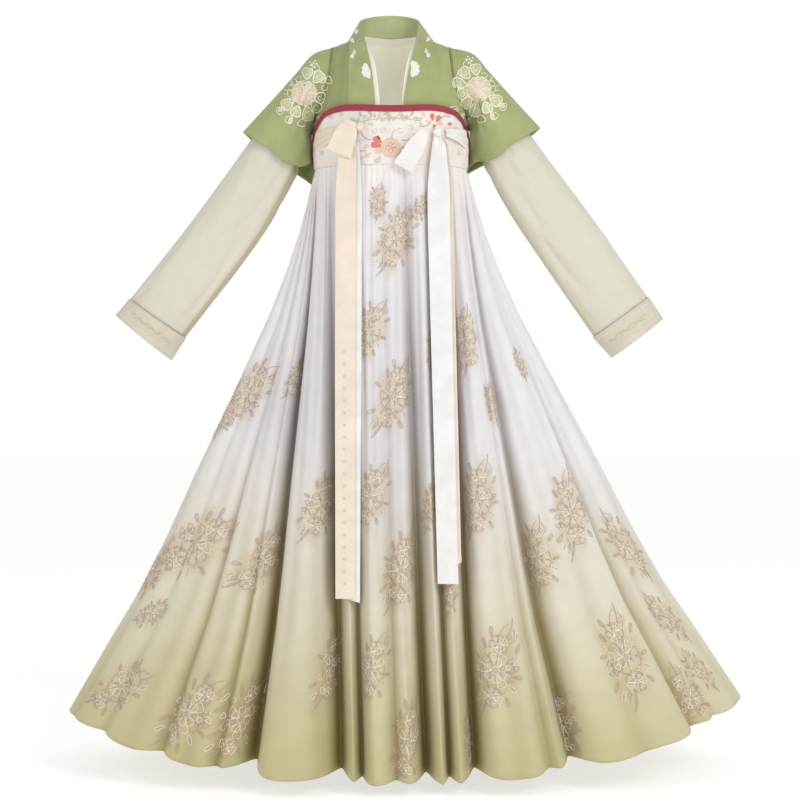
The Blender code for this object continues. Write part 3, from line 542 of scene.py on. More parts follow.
# ------------------------------------------------------------------- colours
def lin(*rgb):
    """Linear colour of an sRGB colour given in 0 to 255."""
    c = np.array(rgb, float) / 255
    return np.where(c <= 0.04045, c / 12.92, ((c + 0.055) / 1.055) ** 2.4)


def link(tree, a, b):
    tree.links.new(a, b)


def cloth_material(name, rgb=None, tint=False, roughness=0.82, sheen=0.18, alpha=1.0,
                   mottle=0.05, slub=0.25, thread=(900.0, 900.0), specular=0.25, satin=0.0, glow=None):
    """Woven cloth: slightly uneven colour, and a bump of warp and weft threads; a glow paints light into it."""
    mat = bpy.data.materials.new(name)
    mat.use_nodes = True
    tree = mat.node_tree
    n = tree.nodes
    bsdf = n.get("Principled BSDF")
    bsdf.inputs["Roughness"].default_value = roughness
    bsdf.inputs["Metallic"].default_value = 0.0
    bsdf.inputs["Specular IOR Level"].default_value = specular
    bsdf.inputs["Sheen Weight"].default_value = sheen
    bsdf.inputs["Sheen Roughness"].default_value = 0.45
    bsdf.inputs["Alpha"].default_value = alpha
    if satin:
        bsdf.inputs["Anisotropic"].default_value = satin
    if glow:
        # painted light: an even glow that stands in for daylight coming through the sheer cloth
        bsdf.inputs["Emission Color"].default_value = (*[float(c) for c in lin(*glow[:3])], 1.0)
        bsdf.inputs["Emission Strength"].default_value = glow[3]
    uv = n.new("ShaderNodeUVMap")
    uv.uv_map = "cloth"
    parts = []
    for k, stretch in enumerate(((1.0, 0.12), (0.12, 1.0))):
        place = n.new("ShaderNodeMapping")
        place.inputs["Scale"].default_value = (thread[0] * stretch[0], thread[1] * stretch[1], 1.0)
        link(tree, uv.outputs["UV"], place.inputs["Vector"])
        noise = n.new("ShaderNodeTexNoise")
        noise.noise_dimensions = "2D"
        noise.inputs["Scale"].default_value = 1.0
        noise.inputs["Detail"].default_value = 1.5
        link(tree, place.outputs["Vector"], noise.inputs["Vector"])
        parts.append(noise.outputs["Fac"])
    add = n.new("ShaderNodeMath")
    add.operation = "ADD"
    link(tree, parts[0], add.inputs[0])
    link(tree, parts[1], add.inputs[1])
    bump = n.new("ShaderNodeBump")
    bump.inputs["Strength"].default_value = slub
    bump.inputs["Distance"].default_value = 0.0006
    link(tree, add.outputs["Value"], bump.inputs["Height"])
    link(tree, bump.outputs["Normal"], bsdf.inputs["Normal"])
    # uneven dye
    broad = n.new("ShaderNodeTexNoise")
    broad.noise_dimensions = "2D"
    broad.inputs["Scale"].default_value = 26.0
    broad.inputs["Detail"].default_value = 3.0
    link(tree, uv.outputs["UV"], broad.inputs["Vector"])
    spread = n.new("ShaderNodeMapRange")
    spread.inputs["From Min"].default_value = 0.3
    spread.inputs["From Max"].default_value = 0.7
    spread.inputs["To Min"].default_value = 1.0 - mottle
    spread.inputs["To Max"].default_value = 1.0 + mottle
    link(tree, broad.outputs["Fac"], spread.inputs["Value"])
    mix = n.new("ShaderNodeMix")
    mix.data_type = "RGBA"
    mix.blend_type = "MULTIPLY"
    mix.inputs["Factor"].default_value = 1.0
    if tint:
        attr = n.new("ShaderNodeAttribute")
        attr.attribute_name = "tint"
        link(tree, attr.outputs["Color"], mix.inputs["A"])
    else:
        mix.inputs["A"].default_value = (*[float(c) for c in rgb], 1.0)
    grey = n.new("ShaderNodeCombineColor")
    for k in range(3):
        link(tree, spread.outputs["Result"], grey.inputs[k])
    link(tree, grey.outputs["Color"], mix.inputs["B"])
    link(tree, mix.outputs["Result"], bsdf.inputs["Base Color"])
    return mat


def thread_material(name, rgb, roughness=0.5, sheen=0.1, alpha=1.0):
    """Embroidery thread or print: one colour with fine strands."""
    mat = bpy.data.materials.new(name)
    mat.use_nodes = True
    tree = mat.node_tree
    n = tree.nodes
    bsdf = n.get("Principled BSDF")
    bsdf.inputs["Roughness"].default_value = roughness
    bsdf.inputs["Specular IOR Level"].default_value = 0.3
    bsdf.inputs["Sheen Weight"].default_value = sheen
    bsdf.inputs["Alpha"].default_value = alpha
    where = n.new("ShaderNodeTexCoord")
    noise = n.new("ShaderNodeTexNoise")
    noise.inputs["Scale"].default_value = 420.0
    noise.inputs["Detail"].default_value = 2.0
    link(tree, where.outputs["Object"], noise.inputs["Vector"])
    ramp = n.new("ShaderNodeMapRange")
    ramp.inputs["From Min"].default_value = 0.3
    ramp.inputs["From Max"].default_value = 0.7
    ramp.inputs["To Min"].default_value = 0.90
    ramp.inputs["To Max"].default_value = 1.06
    link(tree, noise.outputs["Fac"], ramp.inputs["Value"])
    grey = n.new("ShaderNodeCombineColor")
    for k in range(3):
        link(tree, ramp.outputs["Result"], grey.inputs[k])
    mix = n.new("ShaderNodeMix")
    mix.data_type = "RGBA"
    mix.blend_type = "MULTIPLY"
    mix.inputs["Factor"].default_value = 1.0
    mix.inputs["A"].default_value = (*[float(c) for c in rgb], 1.0)
    link(tree, grey.outputs["Color"], mix.inputs["B"])
    link(tree, mix.outputs["Result"], bsdf.inputs["Base Color"])
    return mat


MATS = {
    "shirt": cloth_material("shirt_chiffon", tint=True, alpha=0.90, slub=0.12, roughness=0.75, mottle=0.015),
    "shirt_body": cloth_material("shirt_body_chiffon", lin(228, 226, 210), slub=0.12, roughness=0.75),
    # the shirt's back and neck edge glow: painted light standing in for daylight through the sheer cloth
    "shirt_inside_glowing": cloth_material("shirt_back_chiffon_glowing", lin(216, 214, 200), slub=0.12, roughness=0.75, glow=(214, 212, 196, 0.42)),
    "shirt_edge": cloth_material("shirt_edge_chiffon", lin(222, 219, 205), slub=0.12, roughness=0.75, glow=(220, 217, 202, 0.30)),
    "jacket": cloth_material("jacket_chiffon", tint=True, slub=0.16, roughness=0.72, mottle=0.07),
    "cuff": cloth_material("cuff_cloth", lin(214, 207, 188), slub=0.3),
    "band": cloth_material("band_satin", lin(240, 231, 224), roughness=0.5, specular=0.35, slub=0.15, satin=0.3),
    "piping": cloth_material("piping_binding", tint=True, roughness=0.6, slub=0.35),
    "skirt": cloth_material("skirt_chiffon", tint=True, roughness=0.8, sheen=0.12, slub=0.12, mottle=0.025),
    "tie_cream": cloth_material("tie_cream_satin", lin(238, 224, 204), roughness=0.5, specular=0.35, slub=0.12),
    "tie_white": cloth_material("tie_white_satin", lin(241, 238, 236), roughness=0.5, specular=0.35, slub=0.12),
}


# ---------------------------------------------------------------- fine cloth
def refine(p, count, axis, wrap=False):
    """Smooth resampling of a coarse grid along one axis, through its points."""
    p = np.moveaxis(np.asarray(p, float), axis, 0)
    n = len(p)
    if wrap:
        q = np.concatenate([p[-1:], p, p[:2]])
        s = np.linspace(0, n, count, endpoint=False)
    else:
        if n == 2:
            f = np.linspace(0, 1, count).reshape(-1, *[1] * (p.ndim - 1))
            return np.moveaxis(p[:1] + (p[1:] - p[:1]) * f, 0, axis)
        q = np.concatenate([2 * p[:1] - p[1:2], p, 2 * p[-1:] - p[-2:-1]])
        s = np.linspace(0, n - 1, count)
    i = np.minimum(np.floor(s).astype(int), (n if wrap else n - 1) - 1)
    f = (s - i).reshape(-1, *[1] * (p.ndim - 1))
    a, b, c, d = q[i], q[i + 1], q[i + 2], q[i + 3]
    # centripetal-like tangents keep uneven rows from overshooting
    out = b + 0.5 * f * ((c - a) + f * (2 * a - 5 * b + 4 * c - d + f * (3 * (b - c) + d - a)))
    return np.moveaxis(out, 0, axis)


def cloth_uv(grid):
    """Metres along the cloth, across and down."""
    du = np.linalg.norm(np.diff(grid, axis=0), axis=2).mean(1)
    dv = np.linalg.norm(np.diff(grid, axis=1), axis=2).mean(0)
    u = np.concatenate([[0], np.cumsum(du)])
    v = np.concatenate([[0], np.cumsum(dv)])
    return np.stack(np.broadcast_arrays(u[:, None], v[None, :]), -1)


def quads(nu, nv, wrap=False):
    i = np.arange(nu if wrap else nu - 1)[:, None]
    j = np.arange(nv - 1)[None, :]
    a = i * nv + j
    b = ((i + 1) % nu) * nv + j
    return np.stack([a, b, b + 1, a + 1], -1).reshape(-1, 4)


def make_object(name, points, faces, mat, uv=None, tint=None, sharp=None):
    mesh = bpy.data.meshes.new(name)
    mesh.from_pydata(np.asarray(points, float).tolist(), [], [list(map(int, f)) for f in faces])
    mesh.update()
    loops = np.empty(len(mesh.loops), np.int32)
    mesh.loops.foreach_get("vertex_index", loops)
    if uv is not None:
        layer = mesh.uv_layers.new(name="cloth")
        layer.data.foreach_set("uv", np.asarray(uv, np.float32)[loops].ravel())
    if tint is not None:
        attr = mesh.color_attributes.new("tint", "FLOAT_COLOR", "POINT")
        rgba = np.concatenate([np.asarray(tint, np.float32), np.ones((len(points), 1), np.float32)], 1)
        attr.data.foreach_set("color", rgba.ravel())
    mesh.polygons.foreach_set("use_smooth", np.ones(len(mesh.polygons), bool))
    if sharp:
        mesh.set_sharp_from_angle(angle=math.radians(sharp))
    mesh.materials.append(mat)
    obj = bpy.data.objects.new(name, mesh)
    bpy.context.scene.collection.objects.link(obj)
    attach(obj, "root")
    return obj


FINE = {}       # the fine grid of each piece, for what lies on it


def cloth(name, grid, mat_key, node=None, wrap=False, thick=0.0, tint=None, nrm=None, sharp=50):
    """A cloth piece through a fine grid: one layer, or a closed wall of a thickness."""
    nu, nv = grid.shape[:2]
    if nrm is None:
        nrm = outward(grid, wrap)
    uv = cloth_uv(grid).reshape(-1, 2)
    colour = None
    if tint is not None:
        colour = np.broadcast_to(tint, grid.shape).reshape(-1, 3)
    f = quads(nu, nv, wrap)
    if thick <= 0:
        points = grid.reshape(-1, 3)
        faces = f.tolist()
    else:
        outer = (grid + nrm * thick / 2).reshape(-1, 3)
        inner = (grid - nrm * thick / 2).reshape(-1, 3)
        base = len(outer)
        points = np.concatenate([outer, inner])
        faces = f.tolist() + (f[:, ::-1] + base).tolist()
        i = np.arange(nu if wrap else nu - 1)
        k = (i + 1) % nu
        faces += np.stack([i * nv, i * nv + base, k * nv + base, k * nv], -1).tolist()
        e = nv - 1
        faces += np.stack([i * nv + e, k * nv + e, k * nv + e + base, i * nv + e + base], -1).tolist()
        if not wrap:
            j = np.arange(nv - 1)
            faces += np.stack([j, j + 1, j + 1 + base, j + base], -1).tolist()
            r = (nu - 1) * nv
            faces += np.stack([r + j, r + j + base, r + j + 1 + base, r + j + 1], -1).tolist()
        uv = np.concatenate([uv, uv])
        if colour is not None:
            colour = np.concatenate([colour, colour])
    obj = make_object(name + "_cloth", points, faces, MATS[mat_key], uv, colour, sharp)
    if (wrap or thick) and flipped(obj):
        obj.data.flip_normals()
    if node is not False:
        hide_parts(node or name)
    FINE[name] = (grid, nrm, obj)
    return obj


def flipped(obj):
    co = np.empty(len(obj.data.vertices) * 3)
    obj.data.vertices.foreach_get("co", co)
    co = co.reshape(-1, 3)
    co = co - co.mean(0)
    total = 0.0
    for p in list(obj.data.polygons)[:: max(1, len(obj.data.polygons) // 3000)]:
        total += float(np.dot(co[list(p.vertices)].mean(0), p.normal)) * p.area
    return total < 0


def outward(grid, wrap=False):
    """Unit normals, turned away from the garment's upright middle line or, on a tube,
    from its own middle."""
    nrm = grid_normals(grid, wrap)
    centre = grid.mean(axis=0, keepdims=True) if wrap else np.array([0.0, 0.0, -0.25])
    away = grid - centre
    if not wrap:
        away = away * [1, 1, 0.2]
    if (nrm * away).sum() < 0:
        nrm = -nrm
    return nrm


def creased(grid, rows, wrap=False):
    """Moves a fine grid along its normals by soft troughs and ridges. Each row: place
    across and down (share of the piece), direction in degrees from straight down, half
    length and half width in metres, and height (negative for a trough)."""
    uv = cloth_uv(grid)
    size = uv[-1, -1]
    nrm = outward(grid, wrap)
    move = np.zeros(grid.shape[:2])
    for a, b, turn, length, width, height in rows:
        d = uv - np.array([a, b]) * size
        if wrap:
            d[..., 0] = (d[..., 0] + size[0] / 2) % size[0] - size[0] / 2
        c, s = math.cos(math.radians(turn)), math.sin(math.radians(turn))
        along = d[..., 1] * c + d[..., 0] * s
        across = d[..., 0] * c - d[..., 1] * s
        across = across + 0.18 * length * (along / length) ** 2
        move += height * np.exp(-np.abs(across / width) ** 1.7 - np.abs(along / length) ** 2.4)
    return grid + nrm * move[..., None]


def tube(name, path, radius_out, radius_side, out, mat_key, node=None, tint=None, around=12, caps=True):
    """A soft roll along a path, flattened towards the cloth it lies on."""
    path, out = np.asarray(path, float), np.asarray(out, float)
    along = np.gradient(path, axis=0)
    along /= np.linalg.norm(along, axis=1, keepdims=True)
    side = np.cross(along, out)
    side /= np.linalg.norm(side, axis=1, keepdims=True)
    a = np.linspace(0, 2 * np.pi, around, endpoint=False)
    ro = np.broadcast_to(radius_out, (len(path),))[:, None, None]
    rs = np.broadcast_to(radius_side, (len(path),))[:, None, None]
    grid = path[:, None] + out[:, None] * np.sin(a)[None, :, None] * ro + side[:, None] * np.cos(a)[None, :, None] * rs
    grid = np.moveaxis(grid, 0, 1)
    nu, nv = grid.shape[:2]
    faces = quads(nu, nv, True).tolist()
    if caps:
        faces.append([i * nv for i in range(nu)])
        faces.append([i * nv + nv - 1 for i in range(nu)][::-1])
    uv = cloth_uv(grid).reshape(-1, 2)
    colour = None
    if tint is not None:
        colour = np.broadcast_to(tint, grid.shape).reshape(-1, 3)
    obj = make_object(name, grid.reshape(-1, 3), faces, MATS[mat_key], uv, colour, 60)
    if flipped(obj):
        obj.data.flip_normals()
    if node:
        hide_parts(node)
    return obj


# --------------------------------------------------------------- fine skirt
# long soft creases between the main folds: place counted in folds, where each starts
# and ends on the way down, depth and half-width at the hem
SOFT = table(
    "at start end depth width",
    (0.45, 0.30, 1.20, 0.0050, 0.020),
    (1.50, 0.15, 1.10, 0.0060, 0.022),
    (2.40, 0.20, 0.90, 0.0040, 0.014),
    (2.62, 0.45, 1.20, 0.0050, 0.016),
    (3.50, 0.10, 1.20, 0.0055, 0.014),
    (4.30, 0.12, 0.95, 0.0070, 0.016),
    (4.55, 0.05, 0.62, 0.0060, 0.014),
    (4.78, 0.42, 1.20, 0.0060, 0.018),
    (5.45, 0.02, 0.80, 0.0050, 0.008),
    (6.35, 0.10, 1.20, 0.0060, 0.010),
    (6.70, 0.00, 0.75, 0.0050, 0.008),
    (7.50, 0.05, 1.10, 0.0060, 0.010),
    (8.45, 0.10, 0.90, 0.0050, 0.009),
    (9.40, 0.05, 1.20, 0.0060, 0.010),
    (10.35, 0.08, 0.70, 0.0065, 0.016),
    (10.62, 0.30, 1.20, 0.0075, 0.020),
    (11.50, 0.20, 1.10, 0.0050, 0.012),
    (12.25, 0.15, 0.80, 0.0070, 0.018),
    (12.50, 0.35, 1.20, 0.0070, 0.020),
    (12.76, 0.10, 0.70, 0.0050, 0.016),
    (13.50, 0.30, 1.20, 0.0050, 0.014),
    (14.50, 0.25, 1.10, 0.0050, 0.020),
    (15.40, 0.15, 1.10, 0.0060, 0.020),
    (16.55, 0.20, 1.20, 0.0060, 0.018),
    (17.40, 0.10, 0.80, 0.0050, 0.014),
    (18.30, 0.08, 1.20, 0.0070, 0.018),
    (18.70, 0.20, 1.00, 0.0060, 0.016),
    (19.45, 0.05, 1.20, 0.0060, 0.014),
    (20.50, 0.10, 1.10, 0.0060, 0.012),
    (21.50, 0.02, 0.90, 0.0055, 0.010),
    (22.45, 0.08, 1.20, 0.0060, 0.010),
    (23.50, 0.05, 1.00, 0.0060, 0.012),
    (24.40, 0.10, 1.20, 0.0065, 0.014),
    (25.30, 0.08, 0.90, 0.0065, 0.018),
    (25.72, 0.25, 1.20, 0.0060, 0.016),
    (26.50, 0.15, 1.10, 0.0060, 0.018),
    (27.50, 0.20, 1.20, 0.0060, 0.018),
    (28.50, 0.25, 1.10, 0.0050, 0.020),
)

rng = np.random.default_rng(11)


def top_arc():
    """Distance along the band's lower edge at each place round it."""
    u = np.linspace(0, len(FOLDS["top"]) - 1, 4000)
    top = np.radians(np.interp(u, np.arange(len(FOLDS["top"])), FOLDS["top"]))
    x, y = oval(half_width(SKIRT_TOP_Z) + CHEST_OFF, half_depth(SKIRT_TOP_Z) + CHEST_OFF, top)
    s = np.concatenate([[0], np.cumsum(np.hypot(np.diff(x), np.diff(y)))])
    return u, s


def place_pleats():
    """Gathers under the band: place, depth and how far down each one runs."""
    u, s = top_arc()
    at = []
    here = 0.004
    while here < s[-1] - 0.004:
        at.append(here)
        here += 0.0078 + 0.0050 * rng.random()
    at = np.array(at)
    deep = 0.0011 + 0.0013 * rng.random(len(at))
    run = 0.07 + 0.16 * rng.random(len(at)) ** 1.5
    long = rng.random(len(at)) < 0.22
    run[long] += 0.22 + 0.25 * rng.random(long.sum())
    deep[long] += 0.0008
    return {"at": np.interp(at, s, u), "deep": deep, "run": run}


PLEATS = place_pleats()


# how deep the built cloth takes each valley and how round each lobe, of the main folds;
# the hem runs on smoothly at both sides
EASE = table(
    "valley lobe",
    (1.00, 0.30), (0.35, 0.30), (0.45, 0.40), (0.45, 0.60), (1.00, 1.00), (1.00, 1.00), (1.00, 1.00), (1.00, 1.00),
    (1.00, 1.00), (1.00, 1.00), (1.00, 0.90), (0.85, 0.80), (1.00, 0.45), (0.45, 0.30), (0.35, 0.30), (1.00, 0.40),
    (0.80, 0.60), (0.80, 0.80), (1.00, 1.00), (1.00, 1.00), (1.00, 1.00), (1.00, 1.00), (1.00, 1.00), (1.00, 1.00),
    (1.00, 1.00), (1.00, 1.00), (1.00, 0.90), (1.00, 0.80), (0.60, 0.40), (1.00, 0.40),
)
HEM_DRAWN_IN = 0.008     # the soft hem stands this much inside the solid's at each side


# the sharp bottom of each main fold, dented a little and darkened with painted shade: the fold, where it starts on the
# way down and how dark its painted shade is
CREVICES = table(
    "fold start strength",
    (0, 0.60, 0.10),
    (1, 0.70, 0.25),
    (2, 0.40, 0.60),
    (3, 0.50, 0.75),
    (4, 0.10, 0.55),
    (5, 0.20, 0.35),
    (6, 0.20, 0.35),
    (7, 0.45, 0.35),
    (8, 0.15, 0.45),
    (9, 0.30, 0.45),
    (10, 0.15, 0.50),
    (11, 0.55, 0.18),
    (12, 0.30, 0.30),
    (13, 0.30, 0.65),
    (14, 0.50, 0.20),
    (16, 0.30, 0.35),
    (20, 0.20, 0.45),
    (25, 0.20, 0.45),
    (28, 0.40, 0.25),
)


def skirt_fine(u, t, want_painted_shade=False):
    """The skirt's surface with its gathers and soft creases, or, when asked, the painted shade of its valleys,
    crevices, gathers and creases.
    """
    u, t = np.broadcast_arrays(np.asarray(u, float), np.asarray(t, float))
    index = np.arange(len(FOLDS["top"]))
    lo = np.clip(np.floor(u).astype(int), 0, len(index) - 2)
    top = np.radians(np.interp(u, index, FOLDS["top"]))
    hem = np.radians(np.interp(u, index, FOLDS["hem"]))
    zt = SKIRT_TOP_Z - 2 * SEAM
    wide, deep = half_width(zt) + CHEST_OFF, half_depth(zt) + CHEST_OFF
    ax, ay = oval(wide, deep, top)
    bx, by = oval(HEM_HALF_WIDTH - HEM_DRAWN_IN, HEM_HALF_DEPTH, hem)
    bx = bx + HEM_CENTRE_X
    e = 1e-3
    cx, cy = oval(HEM_HALF_WIDTH, HEM_HALF_DEPTH, hem + e)
    dx, dy = oval(HEM_HALF_WIDTH, HEM_HALF_DEPTH, hem - e)
    nx, ny = (cy - dy), -(cx - dx)
    size = np.hypot(nx, ny)
    nx, ny = nx / size, ny / size
    flip = np.where(nx * (bx - HEM_CENTRE_X) + ny * by < 0, -1, 1)
    nx, ny = nx * flip, ny * flip
    f = u - lo
    hx, hy = oval(HEM_HALF_WIDTH, HEM_HALF_DEPTH, np.radians(FOLDS["hem"]))
    tx, ty = oval(wide, deep, np.radians(FOLDS["top"]))
    hem_lobe = np.hypot(np.diff(hx), np.diff(hy))
    top_lobe = np.hypot(np.diff(tx), np.diff(ty))
    lobe = hem_lobe[lo]
    valley = np.zeros(u.shape)
    crevice_dent_and_shade = np.zeros(u.shape)
    for k, dist in ((lo, f * lobe), (lo + 1, (1 - f) * lobe)):
        valley = np.maximum(valley, FOLDS["depth"][k] * EASE["valley"][k] * np.exp(-(dist / FOLDS["width"][k]) ** 1.6))
        deep = np.interp(k, CREVICES["fold"], CREVICES["strength"]) * np.clip((t - np.interp(k, CREVICES["fold"], CREVICES["start"])) / 0.25, 0, 1)
        crevice_dent_and_shade = np.maximum(crevice_dent_and_shade, deep * np.exp(-(dist / 0.0095) ** 1.5))
    bulge = np.minimum(0.13 * lobe, 0.026) * (1 - (2 * f - 1) ** 2) * EASE["lobe"][lo]
    crest = 1 - np.exp(-((np.minimum(f, 1 - f) / 0.22) ** 2))
    spread = np.interp(t, SPREAD["drop"], SPREAD["spread"])
    push = bulge * t - valley * t ** (1.15 - 0.17 * np.clip((t - 0.14) / 0.2, 0, 1)) + 0.0055 * crest * (1 - t) * np.clip(t / 0.05, 0, 1)
    # painted shade in the valleys, darkest at their bottoms lower down
    shade = 0.42 * np.clip(valley / 0.06, 0, 1) ** 1.3 * (1.0 - 0.30 * t) + 0.75 * np.clip(valley / 0.06 - 0.50, 0, 1) * t ** 0.7
    shade = shade + crevice_dent_and_shade
    push = push - 0.005 * crevice_dent_and_shade
    # metres across the cloth from here to a place in the same or the next fold
    across = top_lobe[lo] * (1 - spread) + lobe * spread
    cum_top = np.concatenate([[0], np.cumsum(top_lobe)])
    cum_hem = np.concatenate([[0], np.cumsum(hem_lobe)])
    s_top = np.interp(u, index, cum_top)
    s_hem = np.interp(u, index, cum_hem)
    here = s_top * (1 - spread) + s_hem * spread
    for at, depth, run in zip(PLEATS["at"], PLEATS["deep"], PLEATS["run"]):
        there = np.interp(at, index, cum_top) * (1 - spread) + np.interp(at, index, cum_hem) * spread
        d = (here - there) / (0.0021 + 0.016 * spread)
        near = np.abs(d) < 3.5
        if near.any():
            fade = np.exp(-(t[near] / run) ** 1.8)
            push[near] -= depth * fade * np.exp(-np.abs(d[near]) ** 1.5)
            # painted shade in each gather
            shade[near] += 0.14 * fade * np.exp(-np.abs(d[near]) ** 1.5)
    for at, start, end, depth, width in zip(*(SOFT[k] for k in ("at", "start", "end", "depth", "width"))):
        there = np.interp(at, index, cum_top) * (1 - spread) + np.interp(at, index, cum_hem) * spread
        lean = 0.010 * np.sin(5.0 * t + 7.0 * at)
        d = (here - there - lean * t) / (width * (0.35 + 0.65 * t))
        near = np.abs(d) < 3.0
        if near.any():
            q = np.clip((t[near] - start) / 0.18, 0, 1) * np.clip((end - t[near]) / 0.22, 0, 1)
            push[near] -= depth * q * q * (3 - 2 * q) * np.exp(-np.abs(d[near]) ** 1.8)
            # painted shade along each soft crease
            shade[near] += 0.22 * q * np.exp(-np.abs(d[near]) ** 1.8)
    lh = np.hypot(bx - ax, by - ay)
    hem_z = zt - np.sqrt(SLANT ** 2 - lh ** 2) + 0.12 * valley
    hem_z = hem_z + 0.0022 * np.sin(s_hem * 41.0) * t
    # the hem lifts a little at both sides
    turned = np.degrees(np.abs((hem + np.pi / 2) % np.pi - np.pi / 2))
    hem_z = hem_z + 0.016 * np.clip((turned - 38) / 34, 0, 1) ** 1.3
    x = ax + (bx - ax) * spread + nx * push
    y = ay + (by - ay) * spread + ny * push
    z = zt + (hem_z - zt) * t
    if want_painted_shade:
        return np.clip(shade, 0, 1.3)
    return np.stack([x, y, z], -1)


# dye of the skirt: colour at each height
DYE = table(
    "z red green blue",
    (-0.20, 234, 231, 231),
    (-0.55, 235, 232, 233),
    (-0.78, 236, 233, 232),
    (-0.88, 232, 227, 222),
    (-0.96, 229, 223, 210),
    (-1.05, 226, 219, 200),
    (-1.15, 220, 213, 184),
    (-1.24, 209, 201, 163),
    (-1.32, 203, 195, 150),
    (-1.40, 198, 190, 143),
)


SHADE_SPOTS = (
    # painted shade in soft spots on the front: x, z, half width, half height, share of light lost
    (-0.012, -0.78, 0.050, 0.24, 0.13),
    (-0.200, -0.70, 0.060, 0.12, 0.18),
    (-0.150, -1.10, 0.040, 0.16, 0.05),
    (0.105, -0.62, 0.030, 0.20, 0.08),
)


def dye(p):
    """Tint of the skirt at a point: off-white above, khaki green towards the hem, with soft spots of painted shade on
    the front.
    """
    x, z = p[..., 0], p[..., 2]
    wave = 0.020 * np.sin(x * 9.0 + 1.0) + 0.012 * np.sin(x * 23.0 + 0.4)
    level = z - 0.040 * np.clip(-x / 0.5, 0, 1.2) + 0.030 * np.clip(x / 0.5, 0, 1.2) + wave
    c = [np.interp(-level, -DYE["z"], DYE[k]) for k in ("red", "green", "blue")]
    # painted shade: soft darker spots on the front
    front = np.clip(-p[..., 1] / 0.08, 0, 1)
    spot_shade = sum(v * np.exp(-((x - cx) / rx) ** 2 - ((z - cz) / rz) ** 2) * front for cx, cz, rx, rz, v in SHADE_SPOTS)
    dyed = lin(*np.moveaxis(np.stack(c, -1), -1, 0).reshape(3, -1)).reshape(3, -1).T.reshape(*p.shape)
    return dyed * (1 - spot_shade[..., None] * np.array([0.97, 1.0, 1.0]))


def even_columns(first, last, count):
    """Places across the skirt that follow both its gathers and its hem folds."""
    u = np.linspace(first, last, 12000)
    total = np.zeros(len(u))
    for t, weight in ((0.02, 3.5), (0.45, 0.7), (1.0, 1.0)):
        p = skirt_fine(u, t)
        total[1:] += weight * np.linalg.norm(np.diff(p, axis=0), axis=1)
    s = np.cumsum(total)
    return np.interp(np.linspace(0, s[-1], count), s, u)


LATTICE = {}    # places and cloth of each built skirt piece, for the print on it


def fine_skirt(name, first, last, places, count=560, rows=110):
    us = even_columns(first, last, count)
    ts = np.linspace(0, 1, rows) ** 1.15
    grid = skirt_fine(us[:, None], ts[None, :])
    side = 1.0 if grid[len(us) // 2, -1, 1] > 0 else -1.0
    nrm = outward(grid)
    # turned-up hem
    back = []
    for up, gap in ((0.0, 0.0016), (0.006, 0.0020), (0.016, 0.0018)):
        t = 1 - up / 1.14
        back.append(skirt_fine(us, t) - nrm[:, -1] * gap)
    grid = np.concatenate([grid, np.stack(back, 1)], 1)
    for k in (0, -1):
        grid[k, :, 1] = side * 0.2 * SEAM
    # painted shade: the cloth is darkened in its valleys, crevices, gathers and creases, lavender grey above and olive
    # lower down
    deep = skirt_fine(us[:, None], ts[None, :], True)
    deep = np.concatenate([deep, deep[:, -1:], deep[:, -1:], deep[:, -1:]], 1)[..., None]
    low = np.clip((-grid[..., 2:3] - 0.75) / 0.35, 0, 1)
    fold = lin(190, 183, 182) / lin(234, 230, 231) * (1 - low) + lin(160, 148, 96) / lin(216, 209, 180) * low
    LATTICE[name] = (us, ts, grid[:, :rows])
    tint = print_clouds(name, places(), dye(grid), grid, us, ts) * (1 + (fold - 1) * np.clip(deep, 0, 1))
    # painted light: the top rows under the band are lightened towards the band's colour, against the shade along its
    # lower edge
    band_edge_light = 0.85 * np.clip(1 - ts / 0.07, 0, 1)[None, :, None]
    tint[:, :rows] = tint[:, :rows] * (1 - band_edge_light) + lin(243, 238, 235) * band_edge_light
    obj = cloth(name, grid, "skirt", tint=tint, nrm=outward(grid), sharp=None)
    LATTICE[name] = (us, ts, grid[:, :rows], FINE[name][1][:, :rows])
    return obj


# ------------------------------------------------------ strokes, petals, sprays
class Threads:
    """Gathers strokes and filled shapes on a surface and makes one object of them."""

    def __init__(self):
        self.points, self.faces, self.count = [], [], 0

    def add(self, points, faces):
        self.points.append(points)
        self.faces.extend([[a + self.count for a in f] for f in faces])
        self.count += len(points)

    def stroke(self, path, nrm, width, rise, closed=False):
        """A raised line of thread: its middle stands higher than its edges."""
        if closed:
            along = np.roll(path, -1, 0) - np.roll(path, 1, 0)
        else:
            along = np.gradient(path, axis=0)
        along /= np.maximum(np.linalg.norm(along, axis=1, keepdims=True), 1e-9)
        side = np.cross(along, nrm)
        side /= np.maximum(np.linalg.norm(side, axis=1, keepdims=True), 1e-9)
        w = np.broadcast_to(width, (len(path),))[:, None] / 2
        base = path + nrm * LIFT
        ring = np.stack([base - side * w, base + nrm * rise, base + side * w], 1)
        n = len(path)
        faces = []
        for i in range(n if closed else n - 1):
            a, b = 3 * i, 3 * ((i + 1) % n)
            faces += [(a, b, b + 1, a + 1), (a + 1, b + 1, b + 2, a + 2)]
        self.add(ring.reshape(-1, 3), faces)

    def patch(self, rings, closed=True):
        """A filled shape from rings of points that close in on its middle."""
        n = rings[0].shape[0]
        points = np.concatenate(rings)
        faces = []
        for r in range(len(rings) - 2):
            for i in range(n):
                k = (i + 1) % n
                faces.append((r * n + i, r * n + k, (r + 1) * n + k, (r + 1) * n + i))
        r = len(rings) - 2
        for i in range(n):
            faces.append((r * n + i, r * n + (i + 1) % n, (r + 1) * n))
        self.add(points, faces)

    def make(self, name, mat, slot):
        if not self.points:
            return None
        obj = make_object(name, np.concatenate(self.points), self.faces, mat)
        return obj


LIFT = 0.0006


